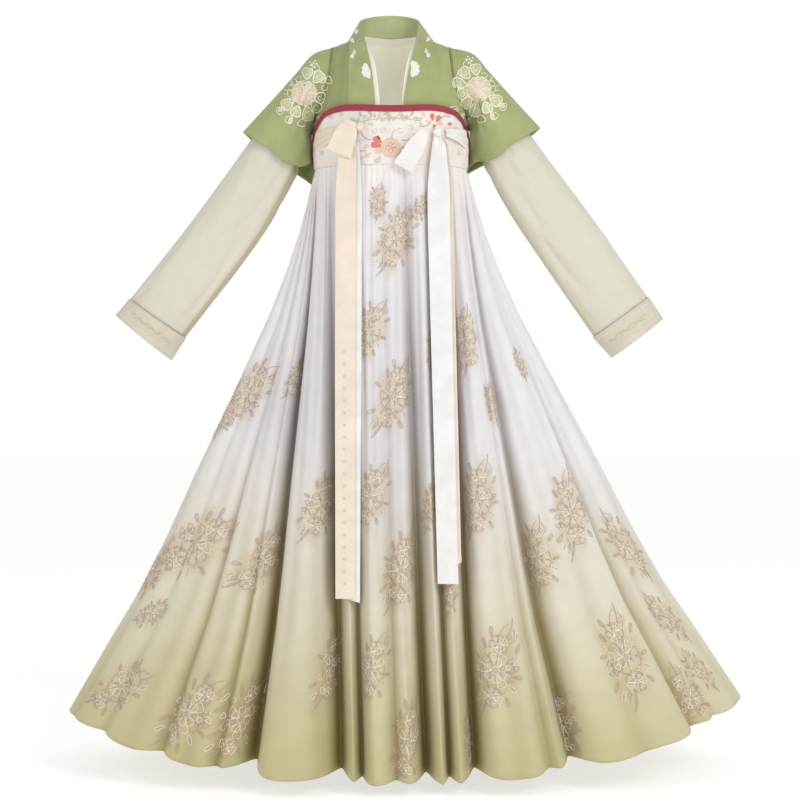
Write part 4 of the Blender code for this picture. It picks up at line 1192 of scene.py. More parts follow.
def petal(at, length, width, turn, notch=0.0, n=14, blunt=0.5):
    """Closed outline of a petal or leaf that grows from a point."""
    s = np.linspace(0, 2 * np.pi, n, endpoint=False)
    y = length * (1 - np.cos(s)) / 2 - notch * length * np.exp(-((s - np.pi) / 0.45) ** 2)
    x = width / 2 * np.sin(s) * (1 - blunt + blunt * (1 - np.cos(s)))
    c, q = math.cos(turn), math.sin(turn)
    return np.stack([at[0] + x * c + y * q, at[1] - x * q + y * c], 1)


def curl(at, radius, start, sweep, n=16, close=0.25):
    """A scroll: an arc that winds in on itself."""
    a = np.radians(start + np.linspace(0, sweep, n))
    r = radius * (1 - (1 - close) * np.linspace(0, 1, n) ** 1.3)
    return np.stack([at[0] + r * np.sin(a), at[1] + r * np.cos(a)], 1)


def bend(a, b, bow, n=9):
    """A stem from a to b that bows to one side."""
    a, b = np.array(a, float), np.array(b, float)
    f = np.linspace(0, 1, n)[:, None]
    side = np.array([b[1] - a[1], a[0] - b[0]])
    return a + (b - a) * f + side * bow * 4 * f * (1 - f)


def spray(kind):
    """The drawn lines of one printed spray in unit size. A layered blossom between two
    smaller ones on one diagonal, edged with leaves and scrolls."""
    lines = []
    lean = math.radians(24)

    def place(across, along):
        return np.stack([across * math.cos(lean) + along * math.sin(lean),
                         -across * math.sin(lean) + along * math.cos(lean)], -1)

    def flower(x, y, radius, counts, turn):
        at = place(np.array(x), np.array(y))
        for ring, count in enumerate(counts):
            r = radius * (1.0, 0.66, 0.36)[ring]
            for k in range(count):
                b = turn + 2 * math.pi * (k + 0.5 * ring) / count
                n = (14, 10, 8)[ring]
                p = petal(at + 0.22 * r * np.array([math.sin(b), math.cos(b)]), 0.86 * r, 3.9 * r / count, b, 0.12, n, 0.8)
                tone = "light" if ring == 1 or (ring == 0 and k % 3 == 1) else "line"
                lines.append((p, True, (1.0, 0.9, 0.6)[ring], tone))

    flower(0.0, 0.0, 0.33, (9, 7, 4), 0.3 * kind)
    flower(-0.06, 0.46, 0.19, (7, 5), 0.4)
    flower(0.07, -0.47, 0.20, (7, 5), 1.1)
    if kind != 1:
        flower(0.30, 0.20, 0.13, (6,), 0.2)
    if kind != 2:
        flower(-0.30, -0.18, 0.14, (6,), 0.9)
    # leaves along both edges and at both ends
    rows = (
        (0.30, 0.42, 30, 0.20), (0.26, 0.60, 12, 0.19), (-0.28, 0.30, -40, 0.19), (-0.24, 0.56, -26, 0.18),
        (0.31, -0.16, 118, 0.19), (0.32, -0.38, 140, 0.18), (-0.27, -0.44, 215, 0.20), (-0.20, -0.62, 200, 0.18),
        (-0.36, 0.04, -84, 0.16), (0.38, 0.02, 82, 0.16),
    )
    for k, (x, y, turn, length) in enumerate(rows):
        at = place(np.array(x), np.array(y))
        p = petal(at, length, 0.36 * length, math.radians(turn) + lean + 0.12 * math.sin(3 * k + kind), 0.0, 10, 0.3)
        lines.append((p, True, 0.9, "light" if k % 3 == 1 else "line"))
        lines.append((np.stack([p[0] + (p[5] - p[0]) * g for g in (0.12, 0.5, 0.86)]), False, 0.6, "line"))
    for way in (1, -1):
        for bow, reach, off in ((0.10, 1.02, 0.02), (-0.14, 0.90, -0.10), (0.22, 0.84, 0.16)):
            q = bend((off * way, 0.55 * way), ((off * 0.4 + 0.10) * way, reach * way), bow * way, 9)
            lines.append((place(q[:, 0], q[:, 1]), False, 1.3 if off == 0.02 else 0.9, "line"))
    for k, (x, y, r, start, sweep) in enumerate((
        (0.24, 0.30, 0.080, 40, 320), (-0.20, 0.14, 0.070, 200, -320), (0.20, -0.28, 0.080, 120, 320),
        (-0.24, -0.32, 0.075, 300, -320), (0.12, 0.66, 0.060, 0, 300), (-0.10, -0.70, 0.060, 180, 300),
        (-0.36, 0.18, 0.060, 260, 320), (0.36, -0.06, 0.060, 60, -320),
    )):
        at = place(np.array(x), np.array(y))
        lines.append((curl(at, r, start + 20 * kind, sweep, 11), False, 0.8, "light" if k % 3 == 0 else "line"))
    return lines


# ------------------------------------------------------------ panels, sleeves
GREEN = lin(164, 172, 118)
GREEN_BACK = lin(190, 193, 150)
GREEN_DEEP = lin(136, 144, 88)


def smooth_at(x, xs, ys):
    """Smooth curve through table points."""
    x = np.asarray(x, float)
    slope = np.gradient(ys, xs)
    i = np.clip(np.searchsorted(xs, x) - 1, 0, len(xs) - 2)
    h = xs[i + 1] - xs[i]
    f = np.clip((x - xs[i]) / h, 0, 1)
    a, b = ys[i], ys[i + 1]
    m, n = slope[i] * h, slope[i + 1] * h
    return (2 * f**3 - 3 * f**2 + 1) * a + (f**3 - 2 * f**2 + f) * m + (3 * f**2 - 2 * f**3) * b + (f**3 - f**2) * n


def let_out(grid, sides):
    """Widens a panel at chosen edges, as a seam allowance: metres at first and last
    column, and at first row."""
    grid = grid.copy()
    first, last, top = sides
    for here, there, size in ((0, 2, first), (-1, -3, last)):
        way = grid[here] - grid[there]
        grid[here] = grid[here] + way / np.linalg.norm(way, axis=1, keepdims=True) * size
    way = grid[:, 0] - grid[:, 3]
    grid[:, 0] = grid[:, 0] + way / np.linalg.norm(way, axis=1, keepdims=True) * top
    return grid


def front_panel(name, side, inner, off, armpit, columns, mat_key, creases, tint=None):
    rows = []
    for share in shares(armpit):
        out = float(armhole_x(share, armpit))
        xs = panel_columns(float(inner(share)) + SEAM, out, share, columns, False)
        rows.append(body_out(side * xs, share, False, off)[0])
    mid = np.stack(rows, 1)
    grid = creased(refine(refine(mid, 46, 0), 96, 1), creases)
    return cloth(name, let_out(grid, (0.0014, 0.0014, 0.0)), mat_key, tint=tint)


def back_panel(name, neck_half, neck_share, off, armpit, columns, mat_key, creases, tint=None):
    rows = []
    levels = shares(armpit)
    for step in levels:
        rel = (step - levels[0]) / (levels[-1] - levels[0])
        ts = np.linspace(-1, 1, columns)
        x = ts * 0.107
        for _ in range(8):
            cut = np.clip(1 - (x / neck_half) ** 2, 0, 1) ** 0.6 * neck_share
            top = np.maximum(cut + 0.012 * (cut > 0), levels[0])
            share = top + (levels[-1] - top) * rel
            out = armhole_x(share, armpit, True)
            z = body(out, share, True)[..., 2]
            half = half_width(z)
            edge = np.arcsin(np.clip(out / half, 0, 1) ** (ROUND / 2))
            edge = np.minimum(edge, math.radians(89.6))
            turn = ts * edge
            x = half * np.sign(turn) * np.abs(np.sin(turn)) ** (2 / ROUND)
        rows.append(body_out(x, share, True, off)[0])
    grid = refine(refine(np.stack(rows, 1), 90, 0), 96, 1)
    grid = creased(grid, creases)
    return cloth(name, let_out(grid, (0.0014, 0.0014, 0.0035)), mat_key, tint=tint)


def fine_sleeve(name, rows, side, off, armpit, mat_key, creases, lift=(), tint=None, count=128, length=84, ripple=0.0, pull=None, streaks=()):
    turns = np.linspace(0, 2 * np.pi, count, endpoint=False)
    mid = sleeve_loops(rows, side, off, armpit, turns)
    grid = refine(mid, length, 1)
    v = np.linspace(0, 1, length)
    # the hem rises where the cloth is turned up
    way = grid[:, -6] - grid[:, -1]
    way /= np.linalg.norm(way, axis=1, keepdims=True)
    rise = np.zeros(count)
    for at, width, height in lift:
        d = (turns / np.pi - at + 1) % 2 - 1
        rise += height * np.exp(-np.abs(d / width) ** 2.2)
    grid = grid + way[:, None] * (rise[:, None] * v[None, :] ** 3)[..., None]
    if pull:
        # the low back part hangs in against the body, behind the band
        reach, at, width, drop = pull
        d = (turns / np.pi - at + 1) % 2 - 1
        share = np.exp(-np.abs(d / width) ** 2.4)[:, None] * np.clip(v / 0.25, 0, 1)[None, :]
        share = share * share * (3 - 2 * share)
        grid = grid + share[..., None] * np.array([-side * reach, 0.016, -drop])
    grid = creased(grid, creases, wrap=True)
    if ripple:
        nrm = outward(grid, True)
        wave = np.sin(3 * turns + 0.7) + 0.7 * np.sin(5 * turns + 2.1) + 0.4 * np.sin(8 * turns)
        grid = grid + nrm * (ripple * wave[:, None] * v[None, :] ** 2)[..., None]
    nrm = outward(grid, True)
    # hem turned in
    inner = [grid[:, -1] - nrm[:, -1] * 0.0008]
    for k, gap in ((-2, 0.0014), (-4, 0.0014), (-6, 0.0012)):
        inner.append(grid[:, k] - nrm[:, k] * gap)
    grid = np.concatenate([grid, np.stack(inner, 1)], 1)
    nrm = np.concatenate([nrm, nrm[:, -1:], nrm[:, [-2, -4, -6]]], 1)
    if tint is None:
        # layers and seams that show through the sheer cloth, and painted fold shade and highlight strips
        vv = np.linspace(0, 1, grid.shape[1])[None, :]
        tint = np.broadcast_to(lin(226, 222, 205), grid.shape).copy()
        for a0, a1, v0, v1, width, factor in streaks:
            f = np.clip((vv - v0) / (v1 - v0), 0, 1)
            d = (turns[:, None] / np.pi - (a0 + (a1 - a0) * f) + 1) % 2 - 1
            inside = np.clip((vv - v0) / 0.12, 0, 1) * np.clip((v1 - vv) / 0.12, 0, 1)
            share = (np.exp(-np.abs(d / width) ** (6.0 if width > 0.075 else 2.2)) * inside)[..., None]
            tint = tint * (1 + (np.array(factor) ** 1.6 - 1) * share)
    else:
        # greener and darker under the arm, partly where it lies double and partly painted shade; painted shade on its
        # back; lighter towards the hem
        vv = np.linspace(0, 1, grid.shape[1])[None, :]
        d = (turns / np.pi - 0.80 + 1) % 2 - 1
        under = np.exp(-np.abs(d / 0.26) ** 2)[:, None] * (0.4 + 0.6 * vv)
        back = np.exp(-np.abs(((turns / np.pi - 1.25 + 1) % 2 - 1) / 0.30) ** 3)[:, None]
        tint = tint * (1 - 0.20 * under - 0.12 * back + 0.07 * vv)[..., None]
    obj = cloth(name, grid, mat_key, wrap=True, tint=tint, nrm=nrm, sharp=None)
    # sewn line where it is set in
    seam = grid[:, 1]
    seam = np.concatenate([seam, seam[:3]])
    out = np.concatenate([nrm[:, 1], nrm[:3, 1]])
    key = "jacket" if mat_key == "jacket" else "shirt_body"
    tube(name + "_seam", seam, 0.0011, 0.0016, out, key, tint=GREEN_DEEP if key == "jacket" else None, around=8, caps=False)
    return obj


def fine_cuff(name, rows):
    turns = np.linspace(0, 2 * np.pi, 128, endpoint=False)
    loops = []
    for f in np.linspace(0, 1, 16):
        v = {k: (1 - f) * c[0] + f * c[1] for k, c in rows.items()}
        top = np.array([v["top_x"], 0.0, v["top_z"]])
        low = np.array([v["low_x"], 0.0, v["low_z"]])
        c, s = np.cos(turns)[:, None], np.sin(turns)[:, None]
        deep = v["half_depth"] + 0.0008 * math.sin(9 * f)
        loops.append((top + low) / 2 + c * (top - low) / 2 + s * np.array([0.0, -deep, 0.0]))
    grid = np.stack(loops, 1)
    obj = cloth(name, grid, "cuff", wrap=True, thick=0.0022, sharp=55)
    nrm = FINE[name][1]
    for k, r in ((0, 0.0012), (15, 0.0011)):
        path = np.concatenate([grid[:, k], grid[:3, k]])
        out = np.concatenate([nrm[:, k], nrm[:3, k]])
        tube("%s_edge_%d" % (name, k), path, r + 0.0006, r, out, "cuff", around=8, caps=False)
    return obj


# ---------------------------------------------------------------- chest band
def fine_band(name, top, back):
    angles = np.linspace(-84, 84, 190)
    turn = np.radians(angles) + (np.pi if back else 0)
    high = smooth_at(np.abs(angles), top["angle"], top["z"])
    f = np.linspace(0, 1, 34)[None, :]
    z = high[:, None] * (1 - f) + SKIRT_TOP_Z * f
    tt = np.broadcast_to(turn[:, None], z.shape)
    wrinkle = 0.0005 * np.sin(angles[:, None] * 0.55 + 3 * f) + 0.0004 * np.sin(angles[:, None] * 1.3 + 1.0) * f
    grid = band_ring(tt, z, CHEST_OFF) + ring_normals(tt, z, CHEST_OFF) * (wrinkle + 0.0008 * np.sin(np.pi * f))[..., None]
    cloth(name, grid, "band", thick=0.0022)
    low = band_ring(turn, np.full(turn.shape, SKIRT_TOP_Z + 0.0006), CHEST_OFF + 0.0008)
    out = ring_normals(turn, np.full(turn.shape, SKIRT_TOP_Z), CHEST_OFF)
    tube(name + "_seam", low, 0.0012, 0.0014, out, "band", around=8)


def fine_piping(name, top, back, wide_mid, wide_end):
    angles = np.linspace(-83, 83, 220)
    high = smooth_at(np.abs(angles), top["angle"], top["z"]) + 0.0015
    turn = np.radians(angles) + (np.pi if back else 0)
    edge = band_ring(turn, high, PIPING_OFF)
    along = np.gradient(edge, axis=0)
    along /= np.linalg.norm(along, axis=1, keepdims=True)
    out = ring_normals(turn, high, PIPING_OFF)
    inward = np.cross(along, out)
    inward = np.where(inward[:, 2:3] > 0, -inward, inward)
    width = wide_end + (wide_mid - wide_end) * np.clip(1 - (np.abs(angles) / 80) ** 3, 0, 1)
    path = edge + inward * (width / 2)[:, None]
    # painted shade: the binding darkens towards the sides, where it runs into the shade between band and sleeve
    painted_side_shade = np.clip((np.abs(angles) - 48) / 30, 0, 1)[:, None]
    tint = lin(158, 60, 74) * (1 - painted_side_shade) + lin(92, 42, 40) * painted_side_shade
    return tube(name, path, 0.0019, width / 2, out, "piping", node=name, tint=tint[None], around=16)


# ---------------------------------------------------------------- ties
def fine_ribbon(name, path, across, widths, mat_key, thick=0.0009, ripple=0.0, curl_up=0.0, count=150, shift=0.0, cut=None, gather=False):
    """A flat ribbon along a path, with a soft ripple and slightly curled edges."""
    path = refine(np.asarray(path, float), count, 0)
    across = refine(np.asarray(across, float), count, 0)
    across /= np.linalg.norm(across, axis=1, keepdims=True)
    widths = refine(np.asarray(widths, float)[:, None], count, 0)[:, 0]
    s = np.linspace(-0.5, 0.5, 11)
    grid = path[None] + across[None] * (s[:, None] * widths[None])[..., None]
    along = np.gradient(path, axis=0)
    n = np.cross(along, across)
    n /= np.linalg.norm(n, axis=1, keepdims=True)
    if n[len(n) // 2, 1] > 0:
        n = -n
    f = np.linspace(0, 1, count)[None, :]
    move = ripple * (np.sin(9 * f + 2.0 + shift) + 0.6 * np.sin(21 * f + 4 * s[:, None] + shift)) * np.sin(np.pi * np.clip(f * 1.1, 0, 1))
    move = move - curl_up * (2 * s[:, None]) ** 2
    if gather:
        # folds that fan out of the knot and die away
        move = move + 0.0016 * np.cos(2 * np.pi * 1.5 * s[:, None] + 0.6 + shift) * np.exp(-(f / 0.16) ** 1.6)
        move = move + 0.0007 * np.cos(2 * np.pi * 1.0 * s[:, None] + 1.9 + shift) * np.exp(-(f / 0.5) ** 2)
    grid = grid + n[None] * move[..., None]
    if cut is not None:
        # a slanting end: one corner is higher than the other
        lift = cut * (s + 0.5)
        grid[:, -14:, 2] += lift[:, None] * np.linspace(0, 1, 14)[None, :] ** 1.0
    return cloth(name, grid, mat_key, thick=thick, nrm=np.broadcast_to(n[None], grid.shape), sharp=50)


def tail_path(rows, under):
    count = 12
    zs = np.linspace(rows["z"][0], rows["z"][-1], count)

    def column(key, z):
        return np.interp(-z, -rows["z"], rows[key])

    ys = []
    for z in zs:
        a = min(column("left", z), column("under_left", z))
        b = max(column("right", z), column("under_right", z))
        if z > SKIRT_TOP_Z:
            p = band_ring(np.radians(np.linspace(-60, 60, 121)), z, PIPING_OFF)
            inside = (p[:, 0] > a - 0.004) & (p[:, 0] < b + 0.004)
            ys.append(min(p[inside, 1].min(), skirt_front_y(a, b, SKIRT_TOP_Z - 0.03)))
        else:
            ys.append(skirt_front_y(a, b, z))
    ys = np.minimum.accumulate(np.array(ys))
    ys = ys - (0.0046 if under else 0.0086)
    if under:
        low = rows["z"][-1] + (0.002 if rows["left"][0] < 0 else UNDER_SHORTER)
        ys = np.append(ys[zs > low], np.interp(-low, -zs, ys))
        zs = np.append(zs[zs > low], low)
    key = "under_" if under else ""
    left, right = column(key + "left", zs), column(key + "right", zs)
    path, widths = np.stack([(left + right) / 2, ys, zs], 1), right - left
    # the gathered top runs up into the knot
    kx, kz = KNOT_L if left[0] < 0 else KNOT_R
    if left[0] < 0:
        # on this side it leaves the knot behind the loop
        top = on_band(kx * 0.35 + path[0][0] * 0.65, kz - 0.006, STRAP_OFF + (0.0008 if under else 0.0026))
    else:
        top = on_band(kx, kz - 0.004, STRAP_OFF + (0.002 if under else 0.0045))
    half = (top + path[0]) / 2 + [0, -0.0015, 0]
    if left[0] < 0:
        half[0] = path[0][0] * 0.85 + top[0] * 0.15
    return np.concatenate([[top, half], path]), np.concatenate([[0.012, widths[0] * 0.72], widths])


def fine_tail(name, rows, under, mat_key, cut=None, shift=0.0):
    path, widths = tail_path(rows, under)
    across = np.tile([1.0, 0.0, 0.0], (len(path), 1))
    return fine_ribbon(name, path, across, widths, mat_key, ripple=0.0007, curl_up=0.0005, count=220, cut=cut, shift=shift, gather=True)


def fine_strap(name, side, knot_at, low, high, mat_key):
    """Gathered ribbon from the side, where it comes out from under the binding, to the knot."""
    kx, kz = knot_at
    start = math.radians(80)
    end = float(np.arcsin((abs(kx) / half_width(kz)) ** (ROUND / 2))) + math.radians(3)
    f = np.linspace(0, 1, 90)
    turns = start + (end - start) * f
    zc = (low + high) / 2 * (1 - f) + kz * f
    wide = (high - low) * (1 - f) + 0.015 * f
    s = np.linspace(-0.5, 0.5, 25)
    z = zc[None] + s[:, None] * wide[None]
    tt = np.broadcast_to(side * turns[None], z.shape)
    away = CHEST_OFF + 0.0016 + (STRAP_OFF - CHEST_OFF - 0.0010) * np.clip((f - 0.15) / 0.6, 0, 1) ** 1.3
    nrm = ring_normals(tt, z, STRAP_OFF)
    grid = band_ring(tt, z, CHEST_OFF) + nrm * (away - CHEST_OFF)[None, :, None]
    # gathers that run together at the knot
    fold = 0.0011 * np.sin(s[:, None] * 2 * np.pi * 2.6 + 0.8 + 1.2 * f[None]) * (0.25 + 0.75 * f[None])
    grid = grid + nrm * fold[..., None]
    return cloth(name, grid, mat_key, thick=0.0009, nrm=nrm)


def on_band(x, z, off):
    half = half_width(z) + off
    turn = np.arcsin(np.clip(abs(x) / half, 0, 1) ** (ROUND / 2)) * (1 if x > 0 else -1)
    return band_ring(np.array(turn), np.array(float(z)), off)


def fine_loop(name, knot_at, end_at, width_top, width_end, mat_key, belly, stand=0.0):
    a = np.array(knot_at)
    b = np.array(end_at)
    way = (b - a) / np.linalg.norm(b - a)
    side = np.array([-way[1], way[0]])
    path, across, widths = [], [], []
    for f, off in ((0.02, 0.001), (0.35, 0.0), (0.65, 0.0), (0.93, 0.0012), (1.0, 0.5 * belly),
                   (0.93, belly - 0.0012), (0.65, belly), (0.35, belly * 0.9), (0.02, belly * 0.5)):
        p = a + (b - a) * f
        path.append(on_band(p[0], p[1], STRAP_OFF + 0.0040 + off + stand * f ** 0.8))
        across.append((side[0], 0.0, side[1]))
        widths.append((width_top + (width_end - width_top) * f ** 0.7) * (0.62 if f < 0.1 else 1.0))
    return fine_ribbon(name, path, across, widths, mat_key, ripple=0.0003, curl_up=0.0006, count=110)


def fine_knot(name, centre, size, mat_key):
    """A pulled-tight knot: a lump with wraps of ribbon across it."""
    x, z = centre
    middle = on_band(x, z, STRAP_OFF + 0.0015 + size[1])
    a = np.linspace(0.02, np.pi - 0.02, 40)
    b = np.linspace(0, 2 * np.pi, 56, endpoint=False)
    bb, aa = np.meshgrid(b, a, indexing="ij")
    wrap_line = np.sin(aa * 5 + 1.6 * np.cos(bb) + 0.6)
    r = 1.0 + 0.10 * wrap_line + 0.05 * np.sin(3 * bb + 2 * aa)
    grid = np.stack([
        middle[0] + size[0] * r * np.sin(aa) * np.cos(bb),
        middle[1] + size[1] * r * np.sin(aa) * np.sin(bb),
        middle[2] + size[2] * r * np.cos(aa),
    ], -1)
    return cloth(name, grid, mat_key, wrap=True, sharp=None)


# ------------------------------------------------------------------- collar
def fine_collar():
    mid = np.concatenate([band_stations(-1), band_stations(1)[-2::-1]])
    grid = refine(refine(mid, 300, 0), 26, 1)
    n = grid_normals(grid)
    n = np.where((n * (grid - np.array([0.0, 0.0, -0.2]))).sum(-1, keepdims=True) < 0, -n, n)
    grid = grid + n * (0.0006 * np.sin(np.linspace(0, np.pi, 26)))[None, :, None]
    # its sewn edge reaches down under the panels, most behind the neck
    way = grid[:, 0] - grid[:, 3]
    way /= np.linalg.norm(way, axis=1, keepdims=True)
    near_back = np.exp(-((np.linspace(0, 1, 300) - 0.5) / 0.12) ** 4)
    grid[:, 0] = grid[:, 0] + way * (0.0008 + 0.0040 * near_back)[:, None]
    behind = np.exp(-((np.linspace(0, 1, 300) - 0.5) / 0.14) ** 2)[:, None, None]
    tint = GREEN * (1 - behind) + GREEN_BACK * behind
    cloth("jacket_collar", grid, "jacket", thick=0.0022, nrm=n, tint=np.broadcast_to(tint, grid.shape))
    seam = refine(mid[:, 0], 300, 0)
    tube("jacket_collar_seam", seam, 0.0010, 0.0012, n[:, 0], "jacket", tint=GREEN_DEEP, around=8)


def shirt_edge_x(share):
    return np.interp(share, SHIRT_EDGE["share"][::-1], SHIRT_EDGE["seam_x"][::-1])


def fine_neckband():
    rows = []
    for side in (-1, 1):
        half = []
        for i, share in enumerate(SHIRT_EDGE["share"]):
            x, w = SHIRT_EDGE["seam_x"][i], SHIRT_EDGE["width"][i]
            s = max(share, 0.004)
            a, n = body_out(side * (x - SEAM), s, False, SHIRT_OFF)
            b, _ = body_out(side * (x - w), s, False, SHIRT_OFF)
            half.append((a, b, n))
        for x in (0.062, 0.035, 0.0):
            share = SHIRT_BACK_SHARE * (1 - (x / 0.0735) ** 2) ** 0.6
            a, n = body_out(side * x, share, True, SHIRT_OFF)
            b, _ = body_out(side * x * 0.93, share * 0.90 - 0.034, True, SHIRT_OFF)
            half.append((a, b, n))
        rows.append(half if side < 0 else half[-2::-1])
    rows = rows[0] + rows[1]
    a = np.array([r[0] for r in rows])
    b = np.array([r[1] for r in rows])
    mid = np.stack([a, (a + b) / 2, b], 1)
    grid = refine(refine(mid, 260, 0), 7, 1)
    cloth("shirt_neckband", grid, "shirt_edge", thick=0.0014)


# ------------------------------------------------- places seen from the front
class Seen:
    """Finds the cloth behind a point of the front view."""

    def __init__(self, objects):
        verts, faces = [], []
        for obj in objects:
            base = len(verts)
            verts += [v.co.copy() for v in obj.data.vertices]
            faces += [[i + base for i in p.vertices] for p in obj.data.polygons]
        self.tree = BVHTree.FromPolygons(verts, faces)

    def at(self, x, y):
        """Point and outward direction of the cloth at a place of the view."""
        way = Vector(((x - VIEW_MID) / VIEW_SCALE, 1.0, (VIEW_MID - y) / VIEW_SCALE)).normalized()
        hit, nrm, _, _ = self.tree.ray_cast(Vector((VIEW_X, VIEW_Y, VIEW_Z)), way)
        if hit is None:
            return None
        if nrm.dot(way) > 0:
            nrm = -nrm
        return np.array(hit), np.array(nrm)

    def line(self, points):
        hits = [self.at(x, y) for x, y in points]
        if any(h is None for h in hits):
            return None
        p = np.array([h[0] for h in hits])
        n = np.array([h[1] for h in hits])
        # a stroke that leaps to another layer is left out
        if len(p) > 1 and np.linalg.norm(np.diff(p, axis=0), axis=1).max() > 0.02:
            return None
        return p, n


def sew(threads, seen, points, width, rise=0.0005, closed=False):
    """A stroke of thread along view places, its width in metres."""
    found = seen.line(points)
    if found:
        threads.stroke(found[0], found[1], width, rise, closed)


def fill(threads, seen, outline, rise=0.0004, steps=(1.0, 0.6, 0.0)):
    """A filled shape from its outline in view places, raised in its middle."""
    middle = outline.mean(0)
    rings = []
    for k, s in enumerate(steps):
        pts = middle + (outline - middle) * s if s > 0 else middle[None]
        found = seen.line(pts)
        if not found:
            return
        rings.append(found[0] + found[1] * (LIFT * 0.8 + rise * (1 - s)))
    threads.patch(rings)


def dot(threads, seen, x, y, r, rise=0.0007):
    a = np.linspace(0, 2 * np.pi, 8, endpoint=False)
    fill(threads, seen, np.stack([x + r * np.cos(a), y + r * np.sin(a)], 1), rise, (1.0, 0.0))


def seen_petal(at, length, width, turn, notch=0.0, n=14, blunt=0.5):
    """A petal in view places; turn is in degrees, 0 up and 90 to the right."""
    p = petal((0, 0), length, width, math.radians(turn), notch, n, blunt)
    return np.stack([at[0] + p[:, 0], at[1] - p[:, 1]], 1)


def seen_curl(at, radius, start, sweep, n=14, close=0.3):
    p = curl((0, 0), radius, start, sweep, n, close)
    return np.stack([at[0] + p[:, 0], at[1] - p[:, 1]], 1)


# ------------------------------------------------------------------- build
CREASES_SLEEVE_L = (
    (0.30, 0.40, 14, 0.16, 0.012, -0.0040), (0.36, 0.55, 10, 0.20, 0.011, 0.0036),
    (0.42, 0.36, 6, 0.12, 0.010, -0.0036), (0.27, 0.22, 60, 0.04, 0.010, 0.0030),
    (0.40, 0.93, 4, 0.05, 0.008, -0.0024), (0.10, 0.93, -3, 0.05, 0.008, -0.0020),
    # across, down, direction, half length, half width, height
    (0.25, 0.34, 12, 0.12, 0.010, -0.0034),
    (0.18, 0.50, 8, 0.14, 0.012, 0.0027),
    (0.33, 0.52, -8, 0.13, 0.009, -0.0037),
    (0.28, 0.72, 6, 0.10, 0.010, -0.0027),
    (0.12, 0.80, -4, 0.09, 0.010, 0.0024),
    (0.22, 0.90, 16, 0.05, 0.008, -0.0027),
    (0.38, 0.80, 3, 0.12, 0.008, -0.0037),
    (0.75, 0.40, 10, 0.12, 0.011, -0.0037),
    (0.68, 0.62, -8, 0.12, 0.010, -0.0034),
    (0.82, 0.78, 5, 0.10, 0.011, 0.0027),
    (0.72, 0.90, -10, 0.06, 0.008, -0.0027),
    (0.45, 0.30, 30, 0.05, 0.010, -0.0037),
    (0.55, 0.42, -20, 0.06, 0.010, -0.0034),
)
CREASES_SLEEVE_R = (
    (0.30, 0.38, -12, 0.16, 0.012, -0.0036), (0.37, 0.56, -8, 0.20, 0.011, 0.0032),
    (0.18, 0.30, -20, 0.08, 0.011, -0.0026), (0.42, 0.90, -4, 0.06, 0.008, -0.0022),
    (0.24, 0.36, -10, 0.12, 0.010, -0.0034),
    (0.14, 0.52, -6, 0.14, 0.012, 0.0024),
    (0.32, 0.48, 8, 0.12, 0.010, -0.0031),
    (0.26, 0.66, -6, 0.10, 0.010, -0.0024),
    (0.36, 0.74, -3, 0.12, 0.008, -0.0034),
    (0.16, 0.86, 6, 0.07, 0.010, 0.0024),
    (0.24, 0.93, -14, 0.04, 0.008, -0.0024),
    (0.76, 0.42, -10, 0.12, 0.011, -0.0037),
    (0.68, 0.60, 8, 0.12, 0.010, -0.0034),
    (0.84, 0.76, -5, 0.10, 0.011, 0.0027),
    (0.45, 0.30, -28, 0.05, 0.010, -0.0034),
    (0.55, 0.42, 22, 0.06, 0.010, -0.0031),
)
CREASES_HALF_L = (
    (0.20, 0.55, 20, 0.06, 0.010, -0.0023),
    (0.30, 0.45, 8, 0.08, 0.009, -0.0029),
    (0.38, 0.60, -6, 0.07, 0.009, -0.0034),
    (0.44, 0.75, -14, 0.05, 0.009, 0.0034),
    (0.12, 0.75, 6, 0.07, 0.012, 0.0018),
    (0.72, 0.50, -10, 0.08, 0.010, -0.0029),
    (0.62, 0.60, 8, 0.08, 0.010, -0.0029),
    (0.84, 0.70, 0, 0.08, 0.012, 0.0021),
)
CREASES_HALF_R = (
    (0.22, 0.52, -20, 0.06, 0.010, -0.0023),
    (0.31, 0.48, -6, 0.08, 0.009, -0.0029),
    (0.39, 0.62, 8, 0.07, 0.009, -0.0031),
    (0.45, 0.78, 14, 0.05, 0.009, 0.0026),
    (0.10, 0.72, -6, 0.07, 0.012, 0.0018),
    (0.73, 0.52, 10, 0.08, 0.010, -0.0029),
    (0.61, 0.60, -8, 0.08, 0.010, -0.0029),
)
CREASES_CHEST = (
    (0.35, 0.28, 4, 0.10, 0.008, -0.0012),
    (0.70, 0.33, -6, 0.10, 0.008, 0.0012),
)
CREASES_BACK = (
    (0.20, 0.30, 14, 0.09, 0.012, -0.0016),
    (0.80, 0.32, -14, 0.09, 0.012, -0.0016),
    (0.42, 0.36, 2, 0.11, 0.014, 0.0012),
    (0.62, 0.30, -3, 0.10, 0.014, -0.0012),
)

